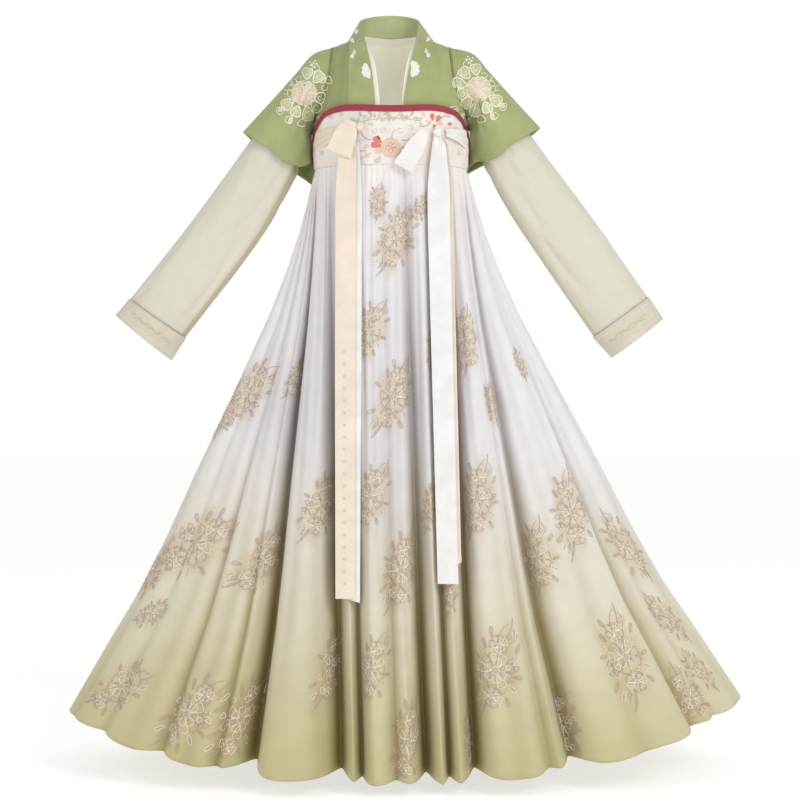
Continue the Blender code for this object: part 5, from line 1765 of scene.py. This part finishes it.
# strips of tone down the shirt sleeves: darker where layers and seams show through, with painted shade along a fold and
# a painted highlight beside it. Place round (in half turns from the top) at both ends, down at both ends, half width,
# colour factor
STREAKS_L = (
    (0.89, 0.91, -0.2, 0.56, 0.130, (0.76, 0.76, 0.56)),
    (0.90, 0.93, 0.36, 1.3, 0.080, (0.84, 0.81, 0.71)),
    (0.36, 0.70, -0.1, 0.58, 0.050, (0.92, 0.925, 0.86)),
    (0.74, 0.78, 0.02, 1.0, 0.045, (1.06, 1.045, 1.04)),
    (0.20, 0.22, 0.2, 1.2, 0.070, (0.985, 0.98, 0.96)),
    (1.10, 1.10, -0.2, 1.2, 0.12, (0.90, 0.88, 0.80)),
)
STREAKS_R = (
    (0.89, 0.91, -0.2, 0.45, 0.100, (0.84, 0.84, 0.70)),
    (0.93, 0.93, 0.3, 1.3, 0.060, (0.90, 0.89, 0.80)),
    (0.36, 0.58, -0.1, 0.62, 0.050, (0.95, 0.955, 0.91)),
    (0.74, 0.78, 0.05, 1.0, 0.050, (1.04, 1.04, 1.03)),
    (0.22, 0.20, 0.2, 1.2, 0.060, (0.985, 0.985, 0.97)),
    (1.10, 1.10, -0.2, 1.2, 0.12, (0.92, 0.91, 0.84)),
)

front_edge = lambda s: FRONT_SEAM_X + (NECK_HALF - FRONT_SEAM_X) * np.maximum(0.0, 1 - s / 0.3)
# painted shade and light: the left front is darker and the right front a little lighter, as the light falls
LEFT_SHADED_GREEN = GREEN * 0.84
for side, word, tint in ((-1, "left", LEFT_SHADED_GREEN), (1, "right", GREEN * 1.03)):
    front_panel("shirt_front_" + word, side, shirt_edge_x, SHIRT_OFF, SHIRT_ARMPIT, 6, "shirt_body", CREASES_CHEST)
    front_panel("jacket_front_" + word, side, front_edge, JACKET_OFF, JACKET_ARMPIT, 6, "jacket", CREASES_CHEST, tint)
back_panel("shirt_back", 0.0735, SHIRT_BACK_SHARE, SHIRT_OFF, SHIRT_ARMPIT, 13, "shirt_inside_glowing", ())
back_panel("jacket_back", NECK_HALF, NECK_BACK_SHARE, JACKET_OFF, JACKET_ARMPIT, 13, "jacket", CREASES_BACK, GREEN)
fine_sleeve("jacket_sleeve_left", JACKET_SLEEVE_L, -1, JACKET_OFF, JACKET_ARMPIT, "jacket", CREASES_HALF_L,
            ((0.50, 0.16, 0.006), (0.78, 0.11, 0.014), (0.90, 0.080, 0.040)), GREEN, ripple=0.0016,
            pull=(0.024, 1.12, 0.34, 0.006))
fine_sleeve("jacket_sleeve_right", JACKET_SLEEVE_R, 1, JACKET_OFF, JACKET_ARMPIT, "jacket", CREASES_HALF_R,
            ((0.45, 0.12, 0.004), (0.84, 0.10, 0.012)), GREEN, ripple=0.0016, pull=(0.029, 1.12, 0.34, 0.004))
fine_sleeve("shirt_sleeve_left", SHIRT_SLEEVE_L, -1, SHIRT_OFF, SHIRT_ARMPIT, "shirt", CREASES_SLEEVE_L, length=150, streaks=STREAKS_L)
fine_sleeve("shirt_sleeve_right", SHIRT_SLEEVE_R, 1, SHIRT_OFF, SHIRT_ARMPIT, "shirt", CREASES_SLEEVE_R, length=150, streaks=STREAKS_R)
fine_cuff("shirt_cuff_left", CUFF_L)
fine_cuff("shirt_cuff_right", CUFF_R)
fine_collar()
fine_neckband()
fine_band("skirt_band_front", CHEST_TOP, False)
fine_band("skirt_band_back", BACK_TOP, True)
binding_front = fine_piping("band_piping_front", CHEST_TOP, False, 0.0125, 0.0050)
binding_back = fine_piping("band_piping_back", BACK_TOP, True, 0.0100, 0.0050)
SIDE_SEAM = int(np.argmin(np.abs(FOLDS["top"] - 90.0)))
LAST = len(FOLDS["top"]) - 1
fine_strap("tie_left_strap", -1, KNOT_L, -0.2150, -0.1700, "tie_cream")
fine_strap("tie_right_strap", 1, KNOT_R, -0.2080, -0.1620, "tie_white")
fine_knot("tie_left_knot", (KNOT_L[0] - 0.005, KNOT_L[1] + 0.003), (0.0064, 0.0050, 0.0080), "tie_cream")
fine_knot("tie_right_knot", KNOT_R, (0.0074, 0.0056, 0.0090), "tie_white")
fine_loop("tie_left_loop", (-0.0740, -0.1540), (-0.0985, -0.2185), 0.032, 0.049, "tie_cream", 0.009, stand=0.013)
fine_loop("tie_right_loop", (0.0650, -0.1740), (0.0235, -0.2450), 0.026, 0.040, "tie_white", 0.009)
fine_tail("tie_left_tail", TAIL_L, False, "tie_cream")
fine_tail("tie_left_under", TAIL_L, True, "tie_white", shift=1.0, cut=-0.010)
fine_tail("tie_right_tail", TAIL_R, False, "tie_white", shift=2.0)
fine_tail("tie_right_under", TAIL_R, True, "tie_cream", cut=0.030, shift=0.5)


# ------------------------------------------------------- printed skirt sprays
# place in the front view, size in metres from middle to tip, lean in degrees, kind
SPRAYS = table(
    "x y size lean kind",
    (397, 240, 0.082, 2, 0), (377, 200, 0.040, -20, 1), (424, 208, 0.040, 20, 2),
    (371, 332, 0.072, 4, 1), (434, 345, 0.062, -6, 0), (464, 342, 0.072, -22, 2),
    (243, 392, 0.104, 18, 0), (395, 398, 0.090, 4, 2), (521, 362, 0.036, -30, 1), (300, 374, 0.058, 12, 1), (496, 404, 0.050, -30, 0),
    (194, 543, 0.118, 28, 1), (262, 558, 0.096, 22, 2), (324, 508, 0.082, 4, 0), (371, 500, 0.078, 2, 1),
    (476, 500, 0.088, -8, 2), (572, 510, 0.092, -10, 0), (536, 556, 0.080, -14, 1), (628, 548, 0.084, -44, 2),
    (400, 572, 0.092, 0, 0), (446, 596, 0.052, -12, 1), (430, 506, 0.060, 0, 0),
    (122, 684, 0.088, 26, 2), (186, 716, 0.104, 14, 0), (243, 722, 0.104, 8, 1), (332, 668, 0.086, 4, 2),
    (370, 668, 0.078, 0, 1), (497, 668, 0.100, 0, 0), (626, 658, 0.098, -16, 1), (563, 726, 0.082, -12, 2),
    (692, 700, 0.072, -36, 0), (408, 744, 0.094, 0, 2), (468, 738, 0.066, -24, 1),
    (668, 616, 0.060, -50, 1), (150, 612, 0.048, 30, 0), (345, 418, 0.050, 4, 0), (702, 670, 0.050, -46, 2),
)
# the hidden side carries the same print in rows: place round the skirt, way down
BACK_SPRAYS = table(
    "at down size lean kind",
    *[(15.7 + 1.9 * k + 0.5 * (r % 2), d + 0.025 * ((k * 7 + r * 3) % 5 - 2), size, 18 - 5.5 * k, (k + r) % 3)
      for r, (d, size) in enumerate(((0.18, 0.060), (0.40, 0.082), (0.64, 0.096), (0.88, 0.092)))
      for k in range(7)],
)
PRINT_LINE = thread_material("print_line", lin(188, 172, 158), roughness=0.85)
PRINT_LIGHT = thread_material("print_light", lin(246, 238, 216), roughness=0.75)


def on_skirt(name, u, t):
    """Point and normal on the built skirt piece at a place round it and down it."""
    us, ts, grid, nrm = LATTICE[name]
    a = np.clip(np.interp(u, us, np.arange(len(us))), 0, len(us) - 1.0001)
    b = np.clip(np.interp(t, ts, np.arange(len(ts))), 0, len(ts) - 1.0001)
    i, j = a.astype(int), b.astype(int)
    f, g = (a - i)[..., None], (b - j)[..., None]
    out = []
    for q in (grid, nrm):
        out.append((q[i, j] * (1 - f) + q[i + 1, j] * f) * (1 - g) + (q[i, j + 1] * (1 - f) + q[i + 1, j + 1] * f) * g)
    out[1] /= np.linalg.norm(out[1], axis=-1, keepdims=True)
    return out


def print_clouds(node, places, tint, grid, us, ts):
    """Lays the soft ground colour of each spray into the skirt's dye."""
    rows = len(ts)
    for u0, t0, size, lean, kind in places:
        row = grid[:, int(np.argmin(np.abs(ts - t0)))]
        s = np.concatenate([[0], np.cumsum(np.linalg.norm(np.diff(row, axis=0), axis=1))])
        a = (s - np.interp(u0, us, s))[:, None] / size
        b = -(ts - t0)[None, :] * 1.14 / size
        r = math.radians(lean + 24)
        across, along = a * math.cos(r) - b * math.sin(r), a * math.sin(r) + b * math.cos(r)
        turn = np.arctan2(across / 0.42, along / 0.78)
        edge = 1 + 0.13 * np.sin(5 * turn + kind) + 0.09 * np.sin(9 * turn + 2 * kind + lean)
        reach = np.hypot(across / 0.46, along / 0.82) / edge
        lace = 0.80 + 0.14 * np.sin(across * 23 + 2 * kind) * np.sin(along * 17 + lean) + 0.10 * np.sin(across * 11 - along * 29)
        share = (np.clip((1.12 - reach) / 0.40, 0, 1) * lace * 0.80)[..., None]
        low = np.clip((-grid[:, :rows, 2:3] - 0.75) / 0.4, 0, 1)
        ground = lin(217, 197, 174) * (1 - low) + lin(208, 190, 152) * low
        tint[:, :rows] = tint[:, :rows] * (1 - share) + ground * share
    return tint


def print_sprays(name, node, places):
    """Lays the drawn sprays on the skirt: places are (round, down, size, lean, kind)."""
    lines, lights = Threads(), Threads()
    us, ts, grid, _ = LATTICE[node]
    for u0, t0, size, lean, kind in places:
        row = grid[:, int(np.argmin(np.abs(ts - t0)))]
        s = np.concatenate([[0], np.cumsum(np.linalg.norm(np.diff(row, axis=0), axis=1))])
        s0 = np.interp(u0, us, s)
        c, q = math.cos(math.radians(lean)), math.sin(math.radians(lean))

        def lay(points):
            p = np.asarray(points) * size
            a = p[:, 0] * c + p[:, 1] * q
            b = -p[:, 0] * q + p[:, 1] * c
            u, t = np.interp(s0 + a, s, us), t0 - b / 1.14
            kept = t.min() > 0.006 and t.max() < 0.994 and (s0 + a).min() > 0.002 and (s0 + a).max() < s[-1] - 0.002
            return on_skirt(node, u, t) if kept else None

        for pts, closed, weight, tone in spray(int(kind)):
            at = lay(pts)
            if at is None:
                continue
            target = lights if tone == "light" else lines
            target.stroke(at[0] + at[1] * 0.0001, at[1], 0.00110 * weight * (size / 0.08) ** 0.5, 0.0001, closed)
    lines.make(name + "_lines", PRINT_LINE, "skirt_cloth")
    lights.make(name + "_lights", PRINT_LIGHT, "skirt_cloth")


def front_places():
    """Where each front spray lies on the skirt."""
    us, ts, p = LATTICE["skirt_front"][:3]
    depth = p[..., 1] - VIEW_Y
    px = VIEW_MID + VIEW_SCALE * (p[..., 0] - VIEW_X) / depth
    py = VIEW_MID - VIEW_SCALE * (p[..., 2] - VIEW_Z) / depth
    found = []
    for x, y, size, lean, kind in zip(*(SPRAYS[k] for k in ("x", "y", "size", "lean", "kind"))):
        # the nearest cloth to the viewer close to the place
        miss = np.hypot(px - x, py - y)
        near = miss < max(2.5, miss.min() + 0.6)
        i, j = np.unravel_index(np.argmin(np.where(near, p[..., 1], 9.0)), miss.shape)
        found.append((us[i], ts[j], size, lean, kind))
    # the skirt's sides, that turn away from the front
    return found + [(0.50, 0.46, 0.070, 12, 2), (0.46, 0.74, 0.088, 14, 0)]


def back_places():
    """Where each back spray lies on the skirt."""
    sides = [(SIDE_SEAM + 0.55, 0.34, 0.060, 10, 0), (SIDE_SEAM + 0.62, 0.60, 0.084, 8, 1), (SIDE_SEAM + 0.60, 0.86, 0.092, 6, 2),
             (LAST - 0.55, 0.30, 0.060, -60, 1), (LAST - 0.60, 0.55, 0.084, -58, 2), (LAST - 0.58, 0.82, 0.092, -56, 0)]
    return list(zip(*(BACK_SPRAYS[k] for k in ("at", "down", "size", "lean", "kind")))) + sides


fine_skirt("skirt_front", 0, SIDE_SEAM, front_places)
fine_skirt("skirt_back", SIDE_SEAM, LAST, back_places, count=520, rows=90)
print_sprays("skirt_front_print", "skirt_front", front_places())
print_sprays("skirt_back_print", "skirt_back", back_places())


# ----------------------------------------------------------------- embroidery
THREAD = {
    "cream": thread_material("thread_cream", lin(240, 236, 214)),
    "white": thread_material("thread_white", lin(244, 243, 236)),
    "pink": thread_material("thread_pink", lin(234, 212, 198)),
    "peach": thread_material("thread_peach", lin(238, 204, 178)),
    "tan": thread_material("thread_tan", lin(198, 160, 116)),
    "coral": thread_material("thread_coral", lin(220, 134, 114)),
    "rust": thread_material("thread_rust", lin(150, 78, 58)),
    "mauve": thread_material("thread_mauve", lin(182, 158, 170)),
    "leaf": thread_material("thread_leaf", lin(198, 200, 178)),
    "pale_leaf": thread_material("thread_pale_leaf", lin(208, 216, 198)),
    "gold": thread_material("thread_gold", lin(216, 198, 156)),
    "straw": thread_material("thread_straw", lin(228, 212, 176)),
    "moss": thread_material("thread_moss", lin(196, 200, 156)),
    "sand": thread_material("thread_sand", lin(222, 208, 178)),
}


def embroider(name, seen, slot, shapes):
    """Shapes: (kind, thread, data...). Each thread colour becomes one piece."""
    sets = {}
    for kind, thread, *data in shapes:
        threads = sets.setdefault(thread, Threads())
        if kind == "fill":
            fill(threads, seen, data[0], data[1] if len(data) > 1 else 0.0006)
        elif kind == "ring":
            sew(threads, seen, data[0], data[1], 0.0006, True)
        elif kind == "line":
            sew(threads, seen, data[0], data[1], 0.0006)
        elif kind == "dot":
            dot(threads, seen, *data)
    for thread, threads in sets.items():
        threads.make("%s_%s" % (name, thread), THREAD[thread], slot)


def blossom(x, y, r, count, turn, petal_thread, line_thread, heart, fat=0.9, notch=0.12):
    """A flower of filled and outlined petals round a heart of knots."""
    out = []
    for k in range(count):
        a = turn + 360.0 * k / count
        p = seen_petal((x, y), r, r * fat, a, notch, 14, 0.8)
        out.append(("fill", petal_thread, p))
        out.append(("ring", line_thread, p, 0.0016))
    for k in range(5):
        a = math.radians(turn + 72 * k)
        out.append(("dot", heart, x + 0.16 * r * math.sin(a), y - 0.16 * r * math.cos(a), 0.09 * r + 0.25))
    return out


def shoulder(x, y, side):
    """Shoulder embroidery: a layered blossom in a wreath of cream scrolls and petals,
    with a sprig that runs down towards the band."""
    out = []

    def loop(dx, dy, length, width, turn, weight=0.0021, inner=True):
        p = seen_petal((x + side * dx, y + dy), length, width, side * turn, 0.06, 16, 0.50)
        if inner:
            out.append(("fill", "moss", p, 0.0003))
        out.append(("ring", "cream", p, weight))
        if inner:
            q = seen_curl((x + side * (dx + 0.55 * length * math.sin(math.radians(turn))),
                           y + dy - 0.55 * length * math.cos(math.radians(turn))), 0.26 * length, side * turn, 300 * side, 9)
            out.append(("line", "cream", q, weight * 0.7))

    # wreath of open petals round the blossom, fuller towards the sleeve's front
    for k in range(11):
        a = 360.0 * k / 11 + 8
        r = 13.5 + 2.5 * math.sin(math.radians(a * 2 + 40))
        loop(0.88 * r * math.sin(math.radians(a)), -0.88 * r * math.cos(math.radians(a)), 12.0 + 2 * (k % 3), 9.6 + (k % 2), a, 0.0024)
    # second, outer row
    for a, r, length in ((-100, 25, 8), (-128, 25, 9), (-152, 26, 9), (-176, 26, 8), (150, 27, 9), (128, 28, 9), (60, 23, 8), (22, 23, 8), (-62, 23, 7)):
        loop(r * math.sin(math.radians(a)), -r * math.cos(math.radians(a)), length, 7.0, a + 12, 0.0017, False)
    for a in (-118, -92, -68, -44, -22):
        loop(11.5 * math.sin(math.radians(a)), -11.5 * math.cos(math.radians(a)), 5.6, 5.4, a, 0.0016, False)
    out += blossom(x, y, 13.5, 7, 12, "sand", "cream", "gold", 0.62)
    out += blossom(x + side * 1.0, y + 0.5, 8.0, 5, 40, "pink", "cream", "sand", 0.75)
    for k in range(5):
        p = seen_petal((x + side * 0.5, y), 5.0, 3.6, side * (72 * k + 20), 0.1, 10, 0.7)
        out.append(("ring", "sand", p, 0.0008))
    # sprig of slim petals between the blossom and the band
    for a, b, bow in (((7, 12), (20, 31), -0.12), ((11, 8), (26, 24), -0.12), ((3, 15), (12, 33), -0.10), ((-8, 13), (-16, 26), 0.15)):
        p = bend((x + side * a[0], y + a[1]), (x + side * b[0], y + b[1]), bow * side)
        out.append(("line", "cream" if a[0] != 11 else "tan", p, 0.0019))
    for dx, dy, turn, thread in ((14, 24, 140, "peach"), (20, 20, 120, "tan"), (22, 30, 150, "pink"), (9, 29, 165, "tan"),
                                 (-12, 24, 205, "pink"), (-20, 14, 235, "peach"), (-23, 2, 262, "pink"), (16, -10, 50, "tan")):
        p = seen_petal((x + side * dx, y + dy), 7.5, 3.8, turn * side, 0, 10, 0.4)
        out.append(("fill", thread, p))
        out.append(("ring", "cream", p, 0.0013))
    for dx, dy, r in ((7, -28, 1.3), (10, -26, 1.1), (9, -30, 1.0), (12, -29, 1.2), (6, -31, 0.9), (10.5, -32, 1.0)):
        out.append(("dot", "white", x + side * dx, y + dy, r))
    return out


SHOULDERS = Seen([FINE[n][2] for n in ("jacket_sleeve_left", "jacket_sleeve_right", "jacket_front_left", "jacket_front_right")])
embroider("shoulder_left_stitch", SHOULDERS, "jacket_cloth", shoulder(304.5, 93, 1))
embroider("shoulder_right_stitch", SHOULDERS, "jacket_cloth", shoulder(478.5, 89, -1))

# small half-blossoms on the collar band, and a sprig on its outer face by the neck
COLLAR = Seen([FINE["jacket_collar"][2]])
collar_shapes = []
for x, y, side in ((370.2, 70, -1), (411.0, 68.5, 1)):
    for k in range(5):
        a = side * (26 + 32 * k)
        reach = (9.0, 9.5, 9.0, 10.0, 9.5)[k]
        collar_shapes.append(("fill", "white", seen_petal((x, y), reach, 5.6, a, 0.14, 12, 0.9)))
        collar_shapes.append(("ring", "cream", seen_petal((x, y), reach, 5.6, a, 0.14, 12, 0.9), 0.0010))
        c, q = math.sin(math.radians(a)), math.cos(math.radians(a))
        collar_shapes.append(("line", "pale_leaf", [(x + 2 * c, y - 2 * q), (x + 4 * c, y - 4 * q), (x + 6 * c, y - 6 * q)], 0.0009))
for x, y, side in ((355.5, 44, 1), (425.0, 43, -1)):
    for k, (dx, dy, turn, thread) in enumerate(((0.5, -9, 10, "cream"), (2.0, -3, 60, "mauve"), (-1.0, -1, -40, "cream"),
                                              (-0.5, 5, 190, "pink"), (-2.0, 9, 200, "cream"))):
        collar_shapes.append(("fill", thread, seen_petal((x + side * dx, y + dy), 6.0, 3.8, side * turn, 0.08, 10, 0.6)))
embroider("collar_stitch", COLLAR, "jacket_collar", collar_shapes)

# chest band: leaf sprays along the top, a peach blossom with coral and mauve sprigs
BAND = Seen([FINE["skirt_band_front"][2]])
band_shapes = []
for x, y, turn, length, thread in (
    (357, 121, -60, 7, "pale_leaf"), (361, 117, -15, 6, "leaf"), (366, 121, 50, 7, "pale_leaf"), (372, 116, -35, 6, "leaf"),
    (378, 119, 20, 7, "pale_leaf"), (384, 115, 70, 6, "leaf"), (391, 119, -30, 6, "leaf"), (398, 116, 40, 7, "pale_leaf"),
    (405, 118, -55, 6, "leaf"), (411, 116, 25, 6, "leaf"), (417, 120, 75, 6, "pale_leaf"), (352, 128, -80, 6, "pale_leaf"),
):
    p = seen_petal((x, y), length, 3.2, turn, 0, 10, 0.3)
    band_shapes.append(("fill", thread, p))
    q = seen_petal((x + 2.0, y + 2.0), length * 0.8, 2.6, turn + 55, 0, 10, 0.3)
    band_shapes.append(("fill", thread, q))
    band_shapes.append(("line", "leaf", bend((x - 2, y + 3), (x + 3, y - 2), 0.2), 0.0008))
band_shapes.append(("line", "leaf", bend((352, 124), (420, 121), 0.06, 24), 0.0009))
band_shapes += blossom(391, 147.5, 10.5, 6, 20, "peach", "pink", "gold", 0.66)
band_shapes += blossom(391.5, 147.5, 5.6, 5, 50, "pink", "coral", "gold", 0.6)
for x, y, turn, length, wide, thread in (
    (383, 146, -82, 13, 5.5, "coral"), (382, 143, -58, 11, 4.5, "coral"), (384, 149, -108, 10, 5, "peach"),
    (381, 141, -40, 7, 2.6, "rust"), (370, 146, -95, 7, 4, "pink"),
    (401, 156, 130, 8, 4.5, "pink"), (381, 156, 215, 8, 4.5, "pale_leaf"), (372, 153, 240, 8, 4.5, "pink"),
    (365, 157, 250, 6, 3.5, "pale_leaf"), (396, 160, 160, 6, 3.5, "pale_leaf"), (404, 147, 88, 6, 3.6, "gold"),
    (352, 138, 200, 7, 4, "pink"), (356, 149, 190, 7, 4, "pale_leaf"),
    (433, 121, -10, 8, 4.4, "coral"), (436, 122, 30, 8, 4.4, "coral"), (436, 124, 75, 7, 4.0, "peach"),
    (433, 124, 150, 7, 4.4, "coral"), (431, 123, -60, 6, 3.6, "pink"), (444, 117, 55, 6, 3.4, "pink"),
    (447, 124, 90, 5, 3.0, "coral"), (426, 117, -40, 6, 3.4, "pink"), (452, 131, 120, 6, 3.4, "pale_leaf"),
    (334, 118, -70, 6, 3.2, "pale_leaf"), (340, 117, 30, 6, 3.2, "pink"), (330, 128, 200, 6, 3.2, "pink"),
    (458, 150, 160, 6, 3.4, "pink"), (323, 150, 200, 6, 3.4, "pale_leaf"),
):
    p = seen_petal((x, y), length, wide, turn, 0.06, 12, 0.6)
    band_shapes.append(("fill", thread, p))
for a, b, bow, thread in (
    ((372, 140), (361, 131), 0.2, "mauve"), ((402, 140), (414, 134), -0.2, "mauve"), ((398, 156), (409, 151), 0.25, "mauve"),
    ((431, 121), (419, 126), 0.2, "mauve"), ((366, 151), (355, 157), -0.2, "mauve"), ((392, 138), (396, 130), 0.2, "leaf"),
    ((388, 158), (384, 165), 0.2, "leaf"), ((438, 122), (450, 117), 0.2, "mauve"),
):
    band_shapes.append(("line", thread, bend(a, b, bow, 8), 0.0011))
for x, y in ((403, 147.5), (404.5, 150), (402, 152.5), (406, 146)):
    band_shapes.append(("dot", "rust", x, y, 0.9))
for x, y, r, s in ((374, 131, 3.2, 30), (384, 130, 3.0, 200), (400, 130, 3.2, 100), (411, 128, 2.8, 300), (362, 141, 2.8, 150),
                   (376, 160, 2.6, 60), (410, 142, 2.6, 0)):
    band_shapes.append(("line", "pale_leaf", seen_curl((x, y), r, s, 320, 14), 0.0010))
embroider("band_stitch", BAND, "chest_band", band_shapes)

# cuffs: a small row of leaves and blossoms between two lines
CUFFS = Seen([FINE["shirt_cuff_left"][2], FINE["shirt_cuff_right"][2]])
cuff_shapes = []
for side, (a, b, c, d) in (("left", ((130, 300), (185, 338), (117, 315), (171, 359))), ("right", ((648, 298), (594, 337), (662, 319), (612, 357)))):
    a, b, c, d = (np.array(q, float) for q in (a, b, c, d))

    def place(f, g):
        return (a + (b - a) * f) * (1 - g) + (c + (d - c) * f) * g

    for g in (0.16, 0.86):
        cuff_shapes.append(("line", "cream", np.array([place(f, g) for f in np.linspace(0.03, 0.97, 22)]), 0.0014))
    turn = math.degrees(math.atan2(*((b - a) * [1, -1])))
    for k in range(6):
        f = 0.20 + 0.12 * k
        x, y = place(f, 0.5)
        for j, (dt, thread) in enumerate(((0, "leaf"), (180, "leaf"))):
            cuff_shapes.append(("fill", thread, seen_petal((x, y), 4.2, 2.0, turn + dt + 18, 0, 10, 0.3)))
        for j in range(5):
            if k % 2 == 0:
                cuff_shapes.append(("fill", "straw" if j % 2 else "gold", seen_petal((x, y), 2.9, 2.0, 72 * j + 10, 0, 8, 0.6)))
embroider("cuff_stitch", CUFFS, "shirt_cuffs", cuff_shapes)

# tie ends: a small knot of thread every few centimetres on the lower half
TAIL = Seen([FINE["tie_left_tail"][2]])
tail_shapes = []
for k in range(20):
    y = 352 + 12.2 * k
    tail_shapes.append(("dot", "straw", 344.4, y, 0.8, 0.0003))
    for j in range(4):
        tail_shapes.append(("fill", "straw", seen_petal((344.4, y), 1.9, 1.1, 90 * j + 45, 0, 8, 0.4)))
embroider("tie_stitch", TAIL, "tie_cream", tail_shapes)


# --------------------------------------------------------------------- stage
def stage():
    mesh = bpy.data.meshes.new("floor")
    z = -1.392
    mesh.from_pydata([(-14, -9, z), (14, -9, z), (14, 22, z), (-14, 22, z)], [], [(0, 1, 2, 3)])
    mat = bpy.data.materials.new("floor_paper")
    mat.use_nodes = True
    bsdf = mat.node_tree.nodes.get("Principled BSDF")
    bsdf.inputs["Base Color"].default_value = (0.62, 0.62, 0.62, 1)
    bsdf.inputs["Roughness"].default_value = 0.95
    bsdf.inputs["Emission Color"].default_value = (1, 1, 1, 1)
    bsdf.inputs["Emission Strength"].default_value = 0.60
    bsdf.inputs["Specular IOR Level"].default_value = 0.0
    mesh.materials.append(mat)
    floor = bpy.data.objects.new("floor", mesh)
    bpy.context.scene.collection.objects.link(floor)

    world = bpy.data.worlds.new("studio")
    world.use_nodes = True
    tree = world.node_tree
    back = tree.nodes.get("Background")
    back.inputs["Color"].default_value = (1, 1, 1, 1)
    path = tree.nodes.new("ShaderNodeLightPath")
    level = tree.nodes.new("ShaderNodeMapRange")
    level.inputs["To Min"].default_value = 0.60
    level.inputs["To Max"].default_value = 1.0
    link(tree, path.outputs["Is Camera Ray"], level.inputs["Value"])
    link(tree, level.outputs["Result"], back.inputs["Strength"])
    bpy.context.scene.world = world

    def area(name, at, look, size, power):
        light = bpy.data.lights.new(name, "AREA")
        light.shape = "RECTANGLE"
        light.size, light.size_y = size
        light.energy = power
        obj = bpy.data.objects.new(name, light)
        obj.location = at
        obj.rotation_euler = (Vector(look) - Vector(at)).to_track_quat("-Z", "Y").to_euler()
        bpy.context.scene.collection.objects.link(obj)

    area("key", (2.4, -3.4, 1.6), (0, 0, -0.6), (1.8, 1.8), 62)
    area("side", (-2.8, -2.2, 0.8), (0, 0, -0.6), (1.4, 2.0), 14)

    cam = bpy.data.cameras.new("view")
    cam.lens = 92.3
    cam.sensor_width = 36.0
    obj = bpy.data.objects.new("view", cam)
    obj.location = (VIEW_X, VIEW_Y, VIEW_Z)
    obj.rotation_euler = (math.radians(90), 0, 0)
    bpy.context.scene.collection.objects.link(obj)
    bpy.context.scene.camera = obj
    bpy.context.scene.view_settings.view_transform = "Standard"


stage()
